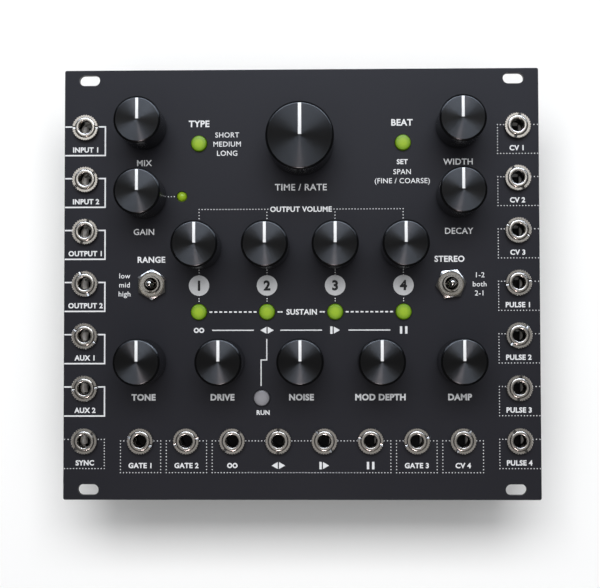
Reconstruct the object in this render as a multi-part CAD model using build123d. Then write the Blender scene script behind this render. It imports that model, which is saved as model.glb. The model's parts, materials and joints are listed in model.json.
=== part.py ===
from build123d import *
import os
from math import cos, pi, sin

# Echo module for a 3U synthesiser rack, 28 width units wide, lying face up on its back.
# Millimetres. The origin is the centre of the four rail slots, on the panel's rear face.
# +X is to the right, +Y to the panel's top edge, +Z out of its front.

# Front panel
PANEL_WIDTH = 141.9
PANEL_HEIGHT = 128.5
PANEL_THICKNESS = 2.0
PANEL_CORNER_RADIUS = 0.6
SLOT_LENGTH = 6.2
SLOT_WIDTH = 3.2
SLOT_SIDE_MARGIN = 7.45
SLOT_END_MARGIN = 3.0
PANEL_HOLE_CLEARANCE = 0.12

# Fits between round pieces, on the radius
RUNNING_CLEARANCE = 0.05
THREAD_CLEARANCE = 0.05
PUSH_CLEARANCE = 0.03

# Places of the sockets: two side columns and a lower row
JACK_ROWS = 7
JACK_END_MARGIN = 17.45
JACK_SIDE_MARGIN = 6.45
LOWER_JACKS = 8
LOWER_JACK_INSET = 16.63

# Places of the knobs, switches, buttons and lamp; rows are shares of the top sockets' height
KNOB_COLUMN_INSET = 17.5
SECOND_ROW_SHARE = 0.5577
MAIN_ROW_SHARE = 0.8974
ECHO_SPREAD_SHARE = 0.6485
ECHO_KNOB_SHARE = 0.2308
ECHO_BUTTON_SHARE = -0.1816
LOWER_ROW_SHARE = -0.4979
RUN_BUTTON_SHARE = -0.7286
TOGGLE_COLUMN_INSET = 20.0
TOGGLE_ROW_SHARE = -0.0064
LAMP_OFFSET = 11.35

# Mini-jack sockets
JACK_HOUSING_WIDTH = 9.0
JACK_HOUSING_LENGTH = 10.5
JACK_HOUSING_HEIGHT = 9.0
JACK_HOUSING_EDGE = 0.5
JACK_HOUSING_FLOOR = 1.0
JACK_CAVITY_CLEARANCE = 0.3
JACK_BORE_DIAMETER = 3.6
JACK_SLEEVE_WALL = 1.2
JACK_SLEEVE_SEAT = 3.0
JACK_SLEEVE_PROUD = 0.5
JACK_SLEEVE_BEVEL = 0.25
JACK_MOUTH_BEVEL = 0.4
JACK_NUT_WALL = 0.75
JACK_NUT_THICKNESS = 1.8
JACK_NUT_TEETH = 30
JACK_NUT_TURN = 37.0
JACK_KNURL_DEPTH = 0.2
JACK_NUT_SLOT_WIDTH = 0.9
JACK_NUT_SLOT_DEPTH = 0.7
JACK_SPRING_THICKNESS = 0.3
JACK_SPRING_WIDTH = 2.0
JACK_SPRING_CONTACT = 1.2
JACK_SPRING_FOOT = 2.9
JACK_SPRING_LIP = 2.0
JACK_SPRING_ROOM = 0.25
SPRING_KNEE_SHARE = 0.18
SPRING_CONTACT_SHARE = 0.6

# Potentiometers
POT_WIDTH = 9.5
POT_LENGTH = 11.3
POT_HEIGHT = 6.8
POT_EDGE = 0.5
POT_FLOOR = 1.2
POT_COLLAR_INSET = 0.25
POT_BUSHING_WALL = 0.45
POT_BUSHING_PROUD = 0.6
POT_NUT_RIM = 1.0
POT_NUT_THICKNESS = 2.0
SHAFT_DIAMETER = 6.0
SHAFT_FLAT_DEPTH = 1.5
SHAFT_TIP_BEVEL = 0.4
SHAFT_TIP_GAP = 0.2
ROTOR_RIM = 0.5
ROTOR_CLEARANCE = 0.12

# Knobs
KNOB_HEIGHT = 15.2
KNOB_PANEL_GAP = 0.8
KNOB_WALL = 1.1
KNOB_NUT_CLEARANCE = 0.5
KNOB_TOP_THICKNESS = 2.4
KNOB_EDGE_BEVEL = 0.5
KNOB_HUB_WALL = 1.2
KNOB_HUB_GAP = 0.4
KNOB_LINE_WIDTH = 0.95
KNOB_LINE_DEPTH = 0.25
KNOB_LINE_START = 0.25
MAIN_KNOB_DIAMETER = 19.8
MAIN_KNOB_WALL = 1.6

# Toggle switches
TOGGLE_WIDTH = 5.1
TOGGLE_LENGTH = 8.9
TOGGLE_EDGE = 0.3
TOGGLE_BUSHING_DIAMETER = 4.9
TOGGLE_BUSHING_RIM = 0.55
TOGGLE_BUSHING_PROUD = 1.9
TOGGLE_KEYWAY_WIDTH = 0.9
TOGGLE_KEYWAY_DEPTH = 0.4
TOGGLE_NUT_RIM = 1.55
TOGGLE_NUT_THICKNESS = 1.8
TOGGLE_NUT_TURN = 37.0
TOGGLE_WELL_WALL = 1.0
TOGGLE_WELL_DEPTH = 3.4
LEVER_PIVOT_DEPTH = 3.7
LEVER_BALL_RADIUS = 1.4
LEVER_BALL_CLEARANCE = 0.1
LEVER_PIN_RADIUS = 0.4
LEVER_PIN_LAND = 0.45
LEVER_NECK_RADIUS = 0.75
LEVER_TIP_RADIUS = 1.25
LEVER_REACH = 7.8
LEVER_TAIL_RADIUS = 0.6
LEVER_TAIL_LENGTH = 4.4

# Push buttons and their switches
BUTTON_DIAMETER = 4.7
BUTTON_PROUD = 1.3
BUTTON_EDGE_RADIUS = 0.5
BUTTON_TRAVEL = 0.5
BUTTON_FLANGE_RIM = 0.6
BUTTON_FLANGE_THICKNESS = 0.8
BUTTON_FLANGE_GAP = 0.1
BUTTON_STEM_DIAMETER = 2.4
BUTTON_STEM_SEAT = 1.5
SWITCH_WIDTH = 6.2
SWITCH_HEIGHT = 4.3
SWITCH_EDGE = 0.4

# Level lamp
LAMP_DIAMETER = 3.0
LAMP_PROUD = 0.9
LAMP_LENGTH = 5.3
LAMP_BASE_RIM = 0.4
LAMP_BASE_THICKNESS = 1.0
LAMP_LEAD_WIDTH = 0.5
LAMP_LEAD_PITCH = 1.5

# Boards, standoffs, screws and the connectors between the boards
BOARD_THICKNESS = 1.6
BOARD_MARGIN = 0.8
BOARD_CORNER_RADIUS = 1.0
BOARD_STACK_GAP = 11.0
BOARD_SCREW_MARGIN = 4.5
STANDOFF_ROW_SHARE = 0.7692
STANDOFF_FLATS = 5.5
SCREW_DIAMETER = 3.0
SCREW_GRIP = 4.5
SCREW_HEAD_RIM = 1.25
SCREW_HEAD_HEIGHT = 2.0
SCREW_HEAD_EDGE = 0.7
SCREW_SOCKET_FLATS = 2.0
SCREW_SOCKET_DEPTH = 1.2
CONNECTOR_LENGTH = 50.8
CONNECTOR_WIDTH = 5.0
CONNECTOR_PLUG_HEIGHT = 2.5
CONNECTOR_ROW_SHARE = 0.5926

# Power header on the processor board's back
HEADER_COLUMNS = 8
HEADER_PITCH = 2.54
HEADER_END = 5.05
HEADER_WIDTH = 8.9
HEADER_HEIGHT = 9.2
HEADER_WALL = 1.2
HEADER_FLOOR = 2.6
HEADER_KEY_WIDTH = 4.5
HEADER_KEY_FLOOR = 4.0
HEADER_ROW_SHARE = 0.6667
PIN_WIDTH = 0.64
PIN_HEIGHT = 5.8

# Parts on the processor board's back
PROCESSOR_WIDTH = 20.0
PROCESSOR_HEIGHT = 1.4
PROCESSOR_CORNER = 1.2
PROCESSOR_PLACE_SHARE = (-0.2, -0.15)
CHIP_LENGTH = 8.7
CHIP_WIDTH = 3.9
CHIP_HEIGHT = 1.5
CHIP_NOTCH_RADIUS = 0.6
CHIP_PLACE_SHARES = ((0.16, 0.02), (0.42, 0.02), (0.16, -0.3), (0.42, -0.3),
                     (-0.58, 0.02), (-0.58, -0.3), (0.16, -0.62), (0.42, -0.62))
CAPACITOR_DIAMETER = 10.0
CAPACITOR_HEIGHT = 10.2
CAPACITOR_EDGE_RADIUS = 0.6
CAPACITOR_BASE_WIDTH = 10.3
CAPACITOR_BASE_HEIGHT = 1.6
CAPACITOR_BASE_CORNER = 1.8
CAPACITOR_CRIMP_DEPTH = 0.35
CAPACITOR_CRIMP_HEIGHT = 0.8
CAPACITOR_CRIMP_Z = 2.6
CAPACITOR_SIDE_INSET = 11.0
CAPACITOR_ROW_INSET = 10.0

# One overrun for every cut that passes a face
OVERRUN = 1.0

# Worked out from the values above: radii
SLEEVE_RADIUS = JACK_BORE_DIAMETER / 2 + JACK_SLEEVE_WALL
JACK_NUT_RADIUS = SLEEVE_RADIUS + THREAD_CLEARANCE + JACK_NUT_WALL
SHAFT_RADIUS = SHAFT_DIAMETER / 2
POT_BUSHING_RADIUS = SHAFT_RADIUS + RUNNING_CLEARANCE + POT_BUSHING_WALL
POT_NUT_FLATS = 2 * (POT_BUSHING_RADIUS + POT_NUT_RIM)
ROTOR_RADIUS = SHAFT_RADIUS + ROTOR_RIM
KNOB_CAVITY_RADIUS = POT_NUT_FLATS / 2 / cos(pi / 6) + KNOB_NUT_CLEARANCE
KNOB_RADIUS = KNOB_CAVITY_RADIUS + KNOB_WALL
MAIN_KNOB_RADIUS = MAIN_KNOB_DIAMETER / 2
TOGGLE_BUSHING_RADIUS = TOGGLE_BUSHING_DIAMETER / 2
TOGGLE_MOUTH_RADIUS = TOGGLE_BUSHING_RADIUS - TOGGLE_BUSHING_RIM
TOGGLE_NUT_FLATS = 2 * (TOGGLE_BUSHING_RADIUS + TOGGLE_NUT_RIM)
BUTTON_RADIUS = BUTTON_DIAMETER / 2
STEM_RADIUS = BUTTON_STEM_DIAMETER / 2
LAMP_RADIUS = LAMP_DIAMETER / 2
SCREW_RADIUS = SCREW_DIAMETER / 2

# Heights, from the front to the back
FRONT_Z = PANEL_THICKNESS
SLEEVE_TOP_Z = FRONT_Z + JACK_NUT_THICKNESS + JACK_SLEEVE_PROUD
POT_BUSHING_TOP_Z = FRONT_Z + POT_NUT_THICKNESS + POT_BUSHING_PROUD
KNOB_BOTTOM_Z = FRONT_Z + KNOB_PANEL_GAP
KNOB_TOP_Z = KNOB_BOTTOM_Z + KNOB_HEIGHT
KNOB_CEILING_Z = KNOB_TOP_Z - KNOB_TOP_THICKNESS
KNOB_HUB_Z = POT_BUSHING_TOP_Z + KNOB_HUB_GAP
TOGGLE_TOP_Z = FRONT_Z + TOGGLE_NUT_THICKNESS + TOGGLE_BUSHING_PROUD
LEVER_PIVOT_Z = TOGGLE_TOP_Z - LEVER_PIVOT_DEPTH
CONTROL_FRONT_Z = -JACK_HOUSING_HEIGHT
CONTROL_BACK_Z = CONTROL_FRONT_Z - BOARD_THICKNESS
PROCESSOR_FRONT_Z = CONTROL_BACK_Z - BOARD_STACK_GAP
PROCESSOR_BACK_Z = PROCESSOR_FRONT_Z - BOARD_THICKNESS
POT_TOP_Z = CONTROL_FRONT_Z + POT_HEIGHT
SWITCH_TOP_Z = CONTROL_FRONT_Z + SWITCH_HEIGHT

# Places across the panel
SLOT_X = PANEL_WIDTH / 2 - SLOT_SIDE_MARGIN
SLOT_Y = PANEL_HEIGHT / 2 - SLOT_END_MARGIN
JACK_X = PANEL_WIDTH / 2 - JACK_SIDE_MARGIN
JACK_TOP_Y = PANEL_HEIGHT / 2 - JACK_END_MARGIN
JACK_ROW_PITCH = 2 * JACK_TOP_Y / (JACK_ROWS - 1)
LOWER_JACK_X = JACK_X - LOWER_JACK_INSET
LOWER_JACK_PITCH = 2 * LOWER_JACK_X / (LOWER_JACKS - 1)
KNOB_X = JACK_X - KNOB_COLUMN_INSET
TOGGLE_X = JACK_X - TOGGLE_COLUMN_INSET
OUTER_ECHO_X = KNOB_X * ECHO_SPREAD_SHARE
INNER_ECHO_X = OUTER_ECHO_X / 3
SECOND_ROW_Y = JACK_TOP_Y * SECOND_ROW_SHARE
MAIN_ROW_Y = JACK_TOP_Y * MAIN_ROW_SHARE
ECHO_KNOB_Y = JACK_TOP_Y * ECHO_KNOB_SHARE
ECHO_BUTTON_Y = JACK_TOP_Y * ECHO_BUTTON_SHARE
LOWER_ROW_Y = JACK_TOP_Y * LOWER_ROW_SHARE
RUN_BUTTON_Y = JACK_TOP_Y * RUN_BUTTON_SHARE
TOGGLE_ROW_Y = JACK_TOP_Y * TOGGLE_ROW_SHARE
STANDOFF_X = (JACK_X + KNOB_X) / 2
STANDOFF_ROW_Y = JACK_TOP_Y * STANDOFF_ROW_SHARE
BOARD_HALF_WIDTH = JACK_X + JACK_HOUSING_WIDTH / 2 + BOARD_MARGIN
BOARD_HALF_HEIGHT = JACK_TOP_Y + JACK_HOUSING_LENGTH / 2 + BOARD_MARGIN
PROCESSOR_HALF_WIDTH = STANDOFF_X + BOARD_SCREW_MARGIN
PROCESSOR_HALF_HEIGHT = STANDOFF_ROW_Y + BOARD_SCREW_MARGIN
CONNECTOR_ROW_Y = PROCESSOR_HALF_HEIGHT * CONNECTOR_ROW_SHARE
HEADER_ROW_Y = PROCESSOR_HALF_HEIGHT * HEADER_ROW_SHARE

JACK_ROW_PLACES = [JACK_TOP_Y - JACK_ROW_PITCH * row for row in range(JACK_ROWS)]
LOWER_JACK_PLACES = [LOWER_JACK_PITCH * jack - LOWER_JACK_X for jack in range(LOWER_JACKS)]
JACK_PLACES = ([(-JACK_X, y) for y in JACK_ROW_PLACES]
               + [(JACK_X, y) for y in JACK_ROW_PLACES]
               + [(x, -JACK_TOP_Y) for x in LOWER_JACK_PLACES])
KNOB_PLACES = {
    "mix": (-KNOB_X, JACK_TOP_Y),
    "gain": (-KNOB_X, SECOND_ROW_Y),
    "width": (KNOB_X, JACK_TOP_Y),
    "decay": (KNOB_X, SECOND_ROW_Y),
    "echo_1": (-OUTER_ECHO_X, ECHO_KNOB_Y),
    "echo_2": (-INNER_ECHO_X, ECHO_KNOB_Y),
    "echo_3": (INNER_ECHO_X, ECHO_KNOB_Y),
    "echo_4": (OUTER_ECHO_X, ECHO_KNOB_Y),
    "tone": (-KNOB_X, LOWER_ROW_Y),
    "drive": (-KNOB_X / 2, LOWER_ROW_Y),
    "noise": (0, LOWER_ROW_Y),
    "depth": (KNOB_X / 2, LOWER_ROW_Y),
    "damp": (KNOB_X, LOWER_ROW_Y),
    "time": (0, MAIN_ROW_Y),
}
TOGGLE_PLACES = {"left": (-TOGGLE_X, TOGGLE_ROW_Y), "right": (TOGGLE_X, TOGGLE_ROW_Y)}
BUTTON_PLACES = {
    "mode": (-OUTER_ECHO_X, MAIN_ROW_Y),
    "beat": (OUTER_ECHO_X, MAIN_ROW_Y),
    "echo_1": (-OUTER_ECHO_X, ECHO_BUTTON_Y),
    "echo_2": (-INNER_ECHO_X, ECHO_BUTTON_Y),
    "echo_3": (INNER_ECHO_X, ECHO_BUTTON_Y),
    "echo_4": (OUTER_ECHO_X, ECHO_BUTTON_Y),
    "run": (-KNOB_X / 4, RUN_BUTTON_Y),
}
LAMP_PLACE = (LAMP_OFFSET - KNOB_X, SECOND_ROW_Y)
SLOT_PLACES = [(x, y) for x in (-SLOT_X, SLOT_X) for y in (-SLOT_Y, SLOT_Y)]
STANDOFF_PLACES = [(x, y) for x in (-STANDOFF_X, STANDOFF_X)
                   for y in (-STANDOFF_ROW_Y, STANDOFF_ROW_Y)]
CAPACITOR_PLACES = [(x, y) for x in (CAPACITOR_SIDE_INSET - STANDOFF_X, STANDOFF_X - CAPACITOR_SIDE_INSET)
                    for y in (CAPACITOR_ROW_INSET - STANDOFF_ROW_Y, STANDOFF_ROW_Y - CAPACITOR_ROW_INSET)]

LOW = (Align.CENTER, Align.CENTER, Align.MIN)


def disc(radius, low, high):
    """A cylinder about Z between two heights."""
    return Pos(0, 0, low) * Cylinder(radius, high - low, align=LOW)


def block(width, length, low, high):
    """A box centred on Z between two heights."""
    return Pos(0, 0, low) * Box(width, length, high - low, align=LOW)


def rounded_block(width, length, low, high, radius):
    """A box whose four upright edges are rounded."""
    return Pos(0, 0, low) * extrude(RectangleRounded(width, length, radius), high - low)


def hexagon(flats, low, high):
    """A hexagonal prism about Z, given across its flats."""
    outline = RegularPolygon(flats / 2, 6, major_radius=False, rotation=30)
    return Pos(0, 0, low) * extrude(outline, high - low)


def turned(*points):
    """A piece turned about Z from its (radius, height) outline."""
    return revolve(Plane.XZ * make_face(Polyline(*points, close=True)), Axis.Z)


def copies(piece, places):
    """Separate copies of one piece, as one group."""
    return Compound([Pos(x, y, 0) * piece for x, y in places])


def front_panel():
    sheet = rounded_block(PANEL_WIDTH, PANEL_HEIGHT, 0, FRONT_Z, PANEL_CORNER_RADIUS)
    slot = extrude(SlotOverall(SLOT_LENGTH, SLOT_WIDTH), FRONT_Z + 2 * OVERRUN)
    cuts = [Pos(x, y, -OVERRUN) * slot for x, y in SLOT_PLACES]
    holes = [
        (SLEEVE_RADIUS, JACK_PLACES),
        (POT_BUSHING_RADIUS, KNOB_PLACES.values()),
        (TOGGLE_BUSHING_RADIUS, TOGGLE_PLACES.values()),
        (BUTTON_RADIUS, BUTTON_PLACES.values()),
        (LAMP_RADIUS, [LAMP_PLACE]),
    ]
    for radius, places in holes:
        hole = disc(radius + PANEL_HOLE_CLEARANCE, -OVERRUN, FRONT_Z + OVERRUN)
        cuts += [Pos(x, y, 0) * hole for x, y in places]
    return sheet - cuts


def jack_housing():
    """Moulded block with the sleeve's seat, the plug's cavity and the contact's channel."""
    seat_z = -JACK_SLEEVE_SEAT
    floor_z = CONTROL_FRONT_Z + JACK_HOUSING_FLOOR
    body = rounded_block(JACK_HOUSING_WIDTH, JACK_HOUSING_LENGTH, CONTROL_FRONT_Z, 0, JACK_HOUSING_EDGE)
    seat = disc(SLEEVE_RADIUS + THREAD_CLEARANCE, seat_z, OVERRUN)
    cavity = disc(JACK_BORE_DIAMETER / 2 + JACK_CAVITY_CLEARANCE, floor_z, seat_z)
    channel_end = JACK_SPRING_FOOT + JACK_SPRING_THICKNESS + JACK_SPRING_ROOM
    channel = block(JACK_SPRING_WIDTH + 2 * JACK_SPRING_ROOM, channel_end, floor_z, seat_z)
    return body - seat - cavity - Pos(0, channel_end / 2, 0) * channel


def jack_spring():
    """Bent contact strip that stands on the housing's floor and leans into the plug's way."""
    foot_z = CONTROL_FRONT_Z + JACK_HOUSING_FLOOR
    rise = -JACK_SLEEVE_SEAT - JACK_SPRING_ROOM - foot_z
    path = [
        (JACK_SPRING_FOOT, foot_z),
        (JACK_SPRING_FOOT, foot_z + SPRING_KNEE_SHARE * rise),
        (JACK_SPRING_CONTACT, foot_z + SPRING_CONTACT_SHARE * rise),
        (JACK_SPRING_LIP, foot_z + rise),
    ]
    back = [(y + JACK_SPRING_THICKNESS, z) for y, z in reversed(path)]
    outline = make_face(Polyline(*path, *back, close=True))
    return extrude(Plane.YZ * outline, JACK_SPRING_WIDTH / 2, both=True)


def jack_sleeve():
    """Threaded sleeve with the plug's bore and a countersunk mouth."""
    bore = JACK_BORE_DIAMETER / 2
    return turned(
        (bore, -JACK_SLEEVE_SEAT),
        (SLEEVE_RADIUS, -JACK_SLEEVE_SEAT),
        (SLEEVE_RADIUS, SLEEVE_TOP_Z - JACK_SLEEVE_BEVEL),
        (SLEEVE_RADIUS - JACK_SLEEVE_BEVEL, SLEEVE_TOP_Z),
        (bore + JACK_MOUTH_BEVEL, SLEEVE_TOP_Z),
        (bore, SLEEVE_TOP_Z - JACK_MOUTH_BEVEL),
    )


def jack_nut():
    """Round nut with a knurled edge and a slot across its top for a driver."""
    corners = 2 * JACK_NUT_TEETH
    rim = [JACK_NUT_RADIUS - JACK_KNURL_DEPTH * (corner % 2) for corner in range(corners)]
    points = [(r * cos(2 * pi * i / corners), r * sin(2 * pi * i / corners)) for i, r in enumerate(rim)]
    top_z = FRONT_Z + JACK_NUT_THICKNESS
    body = Pos(0, 0, FRONT_Z) * extrude(make_face(Polyline(*points, close=True)), JACK_NUT_THICKNESS)
    bore = disc(SLEEVE_RADIUS + THREAD_CLEARANCE, FRONT_Z - OVERRUN, top_z + OVERRUN)
    across = 2 * (JACK_NUT_RADIUS + OVERRUN)
    slot = block(across, JACK_NUT_SLOT_WIDTH, top_z - JACK_NUT_SLOT_DEPTH, top_z + OVERRUN)
    return body - bore - slot


def jack_nuts():
    """One nut to a socket, each tightened to its own angle."""
    nut = jack_nut()
    return Compound([Pos(x, y, 0) * Rot(0, 0, JACK_NUT_TURN * i) * nut
                     for i, (x, y) in enumerate(JACK_PLACES)])


def pot_housing():
    """Cup that the rotor turns in."""
    body = rounded_block(POT_WIDTH, POT_LENGTH, CONTROL_FRONT_Z, POT_TOP_Z, POT_EDGE)
    well = disc(ROTOR_RADIUS + ROTOR_CLEARANCE, CONTROL_FRONT_Z + POT_FLOOR, POT_TOP_Z + OVERRUN)
    return body - well


def pot_bushing():
    """Threaded bushing whose collar closes the cup and backs the panel."""
    bore = SHAFT_RADIUS + RUNNING_CLEARANCE
    collar = POT_WIDTH / 2 - POT_COLLAR_INSET
    return turned(
        (bore, POT_TOP_Z),
        (collar, POT_TOP_Z),
        (collar, 0),
        (POT_BUSHING_RADIUS, 0),
        (POT_BUSHING_RADIUS, POT_BUSHING_TOP_Z),
        (bore, POT_BUSHING_TOP_Z),
    )


def pot_nut():
    top_z = FRONT_Z + POT_NUT_THICKNESS
    bore = disc(POT_BUSHING_RADIUS + THREAD_CLEARANCE, FRONT_Z - OVERRUN, top_z + OVERRUN)
    return hexagon(POT_NUT_FLATS, FRONT_Z, top_z) - bore


def shaft_flat(radius, reach, low, high):
    """What a flat takes off a round shaft: the material beyond reach on the -Y side."""
    depth = radius + OVERRUN
    return Pos(0, -reach - depth / 2, 0) * block(2 * depth, depth, low, high)


def pot_shaft():
    """Rotor drum and shaft in one piece, with a flat where the knob grips it."""
    drum_low = CONTROL_FRONT_Z + POT_FLOOR + ROTOR_CLEARANCE
    drum_high = POT_TOP_Z - ROTOR_CLEARANCE
    top_z = KNOB_CEILING_Z - SHAFT_TIP_GAP
    body = turned(
        (0, drum_low),
        (ROTOR_RADIUS, drum_low),
        (ROTOR_RADIUS, drum_high),
        (SHAFT_RADIUS, drum_high),
        (SHAFT_RADIUS, top_z - SHAFT_TIP_BEVEL),
        (SHAFT_RADIUS - SHAFT_TIP_BEVEL, top_z),
        (0, top_z),
    )
    flat = SHAFT_RADIUS - SHAFT_FLAT_DEPTH
    return body - shaft_flat(SHAFT_RADIUS, flat, POT_BUSHING_TOP_Z, top_z + OVERRUN)


def knob(radius, cavity):
    """Hollow turned knob: bevelled rim, hub with a flatted bore, pointer groove on top and side."""
    hub = SHAFT_RADIUS + PUSH_CLEARANCE + KNOB_HUB_WALL
    bore = SHAFT_RADIUS + PUSH_CLEARANCE
    shell = turned(
        (0, KNOB_HUB_Z),
        (hub, KNOB_HUB_Z),
        (hub, KNOB_CEILING_Z),
        (cavity, KNOB_CEILING_Z),
        (cavity, KNOB_BOTTOM_Z),
        (radius, KNOB_BOTTOM_Z),
        (radius, KNOB_TOP_Z - KNOB_EDGE_BEVEL),
        (radius - KNOB_EDGE_BEVEL, KNOB_TOP_Z),
        (0, KNOB_TOP_Z),
    )
    flat = SHAFT_RADIUS - SHAFT_FLAT_DEPTH + PUSH_CLEARANCE
    socket = disc(bore, KNOB_HUB_Z - OVERRUN, KNOB_CEILING_Z)
    socket -= shaft_flat(bore, flat, KNOB_HUB_Z - OVERRUN, KNOB_CEILING_Z + OVERRUN)
    line_floor = KNOB_TOP_Z - KNOB_LINE_DEPTH
    line_length = radius + OVERRUN - KNOB_LINE_START
    line = block(KNOB_LINE_WIDTH, line_length, line_floor, KNOB_TOP_Z + OVERRUN)
    side = block(KNOB_LINE_WIDTH, KNOB_LINE_DEPTH + OVERRUN, KNOB_BOTTOM_Z - OVERRUN, KNOB_TOP_Z + OVERRUN)
    line_middle = KNOB_LINE_START + line_length / 2
    side_middle = radius + (OVERRUN - KNOB_LINE_DEPTH) / 2
    return shell - socket - Pos(0, line_middle, 0) * line - Pos(0, side_middle, 0) * side


def toggle_housing():
    """Switch case with a well for the lever's tail."""
    body = rounded_block(TOGGLE_WIDTH, TOGGLE_LENGTH, CONTROL_FRONT_Z, 0, TOGGLE_EDGE)
    well = block(TOGGLE_WIDTH - 2 * TOGGLE_WELL_WALL, TOGGLE_LENGTH - 4 * TOGGLE_WELL_WALL,
                 -TOGGLE_WELL_DEPTH, OVERRUN)
    return body - well


def toggle_bushing():
    """Threaded bushing with a keyway; its throat holds the lever's ball and opens to the mouth."""
    throat = LEVER_BALL_RADIUS + LEVER_BALL_CLEARANCE
    body = turned(
        (throat, 0),
        (TOGGLE_BUSHING_RADIUS, 0),
        (TOGGLE_BUSHING_RADIUS, TOGGLE_TOP_Z),
        (TOGGLE_MOUTH_RADIUS, TOGGLE_TOP_Z),
        (throat, LEVER_PIVOT_Z),
    )
    keyway_middle = TOGGLE_BUSHING_RADIUS - TOGGLE_KEYWAY_DEPTH / 2
    keyway = block(TOGGLE_KEYWAY_WIDTH, TOGGLE_KEYWAY_DEPTH, FRONT_Z, TOGGLE_TOP_Z + OVERRUN)
    reach = TOGGLE_BUSHING_RADIUS - LEVER_PIN_LAND
    pin_hole = Cylinder(LEVER_PIN_RADIUS + RUNNING_CLEARANCE, 2 * reach, rotation=(0, 90, 0))
    return body - Pos(0, -keyway_middle, 0) * keyway - Pos(0, 0, LEVER_PIVOT_Z) * pin_hole


def toggle_nut():
    top_z = FRONT_Z + TOGGLE_NUT_THICKNESS
    bore = disc(TOGGLE_BUSHING_RADIUS + THREAD_CLEARANCE, FRONT_Z - OVERRUN, top_z + OVERRUN)
    return hexagon(TOGGLE_NUT_FLATS, FRONT_Z, top_z) - bore


def toggle_nuts():
    """The left nut stands on a corner, the right one is turned further."""
    nut = toggle_nut()
    return Compound([Pos(x, y, 0) * Rot(0, 0, TOGGLE_NUT_TURN * i) * nut
                     for i, (x, y) in enumerate(TOGGLE_PLACES.values())])


def toggle_lever():
    """Bat lever: ball and cross pin at the pivot, tapered neck, round tip, tail into the switch."""
    tip_z = LEVER_PIVOT_Z + LEVER_REACH - LEVER_TIP_RADIUS
    bat = Cone(LEVER_NECK_RADIUS, LEVER_TIP_RADIUS, tip_z - LEVER_PIVOT_Z, align=LOW)
    tip = Pos(0, 0, tip_z) * Sphere(LEVER_TIP_RADIUS)
    ball = Pos(0, 0, LEVER_PIVOT_Z) * Sphere(LEVER_BALL_RADIUS)
    pin_length = 2 * (TOGGLE_BUSHING_RADIUS - LEVER_PIN_LAND - RUNNING_CLEARANCE)
    pin = Pos(0, 0, LEVER_PIVOT_Z) * Cylinder(LEVER_PIN_RADIUS, pin_length, rotation=(0, 90, 0))
    tail = disc(LEVER_TAIL_RADIUS, LEVER_PIVOT_Z - LEVER_TAIL_LENGTH, LEVER_PIVOT_Z)
    return Pos(0, 0, LEVER_PIVOT_Z) * bat + tip + ball + pin + tail


def button_switch():
    """Push switch with a well for the cap's stem."""
    body = rounded_block(SWITCH_WIDTH, SWITCH_WIDTH, CONTROL_FRONT_Z, SWITCH_TOP_Z, SWITCH_EDGE)
    depth = BUTTON_STEM_SEAT + BUTTON_TRAVEL + BUTTON_FLANGE_GAP
    return body - disc(STEM_RADIUS + RUNNING_CLEARANCE, SWITCH_TOP_Z - depth, SWITCH_TOP_Z + OVERRUN)


def button_cap():
    """Round cap with a soft edge, a flange that stops behind the panel and a stem."""
    top_z = FRONT_Z + BUTTON_PROUD
    flange_top = -BUTTON_FLANGE_GAP
    flange_low = flange_top - BUTTON_FLANGE_THICKNESS
    cap = disc(BUTTON_RADIUS, flange_top, top_z)
    cap = fillet(cap.edges().group_by(Axis.Z)[-1], BUTTON_EDGE_RADIUS)
    flange = disc(BUTTON_RADIUS + BUTTON_FLANGE_RIM, flange_low, flange_top)
    stem = disc(STEM_RADIUS, SWITCH_TOP_Z - BUTTON_STEM_SEAT, flange_low)
    return cap + flange + stem


def lamp():
    """Domed lamp on two leads."""
    top_z = FRONT_Z + LAMP_PROUD
    base_z = top_z - LAMP_LENGTH
    lens = disc(LAMP_RADIUS, base_z, top_z - LAMP_RADIUS)
    lens += Pos(0, 0, top_z - LAMP_RADIUS) * Sphere(LAMP_RADIUS)
    lens += disc(LAMP_RADIUS + LAMP_BASE_RIM, base_z, base_z + LAMP_BASE_THICKNESS)
    lead = block(LAMP_LEAD_WIDTH, LAMP_LEAD_WIDTH, CONTROL_FRONT_Z, base_z)
    x, y = LAMP_PLACE
    solids = [lens] + [Pos(side * LAMP_LEAD_PITCH / 2, 0, 0) * lead for side in (-1, 1)]
    return Compound([Pos(x, y, 0) * solid for solid in solids])


def board(half_width, half_height, low):
    """Circuit board with its four screw holes."""
    plate = rounded_block(2 * half_width, 2 * half_height, low, low + BOARD_THICKNESS, BOARD_CORNER_RADIUS)
    hole = disc(SCREW_RADIUS + PANEL_HOLE_CLEARANCE, low - OVERRUN, low + BOARD_THICKNESS + OVERRUN)
    return plate - [Pos(x, y, 0) * hole for x, y in STANDOFF_PLACES]


def standoff():
    hole = disc(SCREW_RADIUS + THREAD_CLEARANCE, PROCESSOR_FRONT_Z - OVERRUN, CONTROL_BACK_Z + OVERRUN)
    return hexagon(STANDOFF_FLATS, PROCESSOR_FRONT_Z, CONTROL_BACK_Z) - hole


def board_screw():
    """Button-head screw pointing down, its head's underside at height zero."""
    head = disc(SCREW_RADIUS + SCREW_HEAD_RIM, 0, SCREW_HEAD_HEIGHT)
    head = fillet(head.edges().group_by(Axis.Z)[-1], SCREW_HEAD_EDGE)
    socket = hexagon(SCREW_SOCKET_FLATS, SCREW_HEAD_HEIGHT - SCREW_SOCKET_DEPTH, SCREW_HEAD_HEIGHT + OVERRUN)
    return head - socket + disc(SCREW_RADIUS, -BOARD_THICKNESS - SCREW_GRIP, 0)


def board_screws():
    """A screw through each board into both ends of each standoff."""
    screw = board_screw()
    front = [Pos(x, y, CONTROL_FRONT_Z) * screw for x, y in STANDOFF_PLACES]
    back = [Pos(x, y, PROCESSOR_BACK_Z) * Rot(180, 0, 0) * screw for x, y in STANDOFF_PLACES]
    return Compound(front + back)


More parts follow.
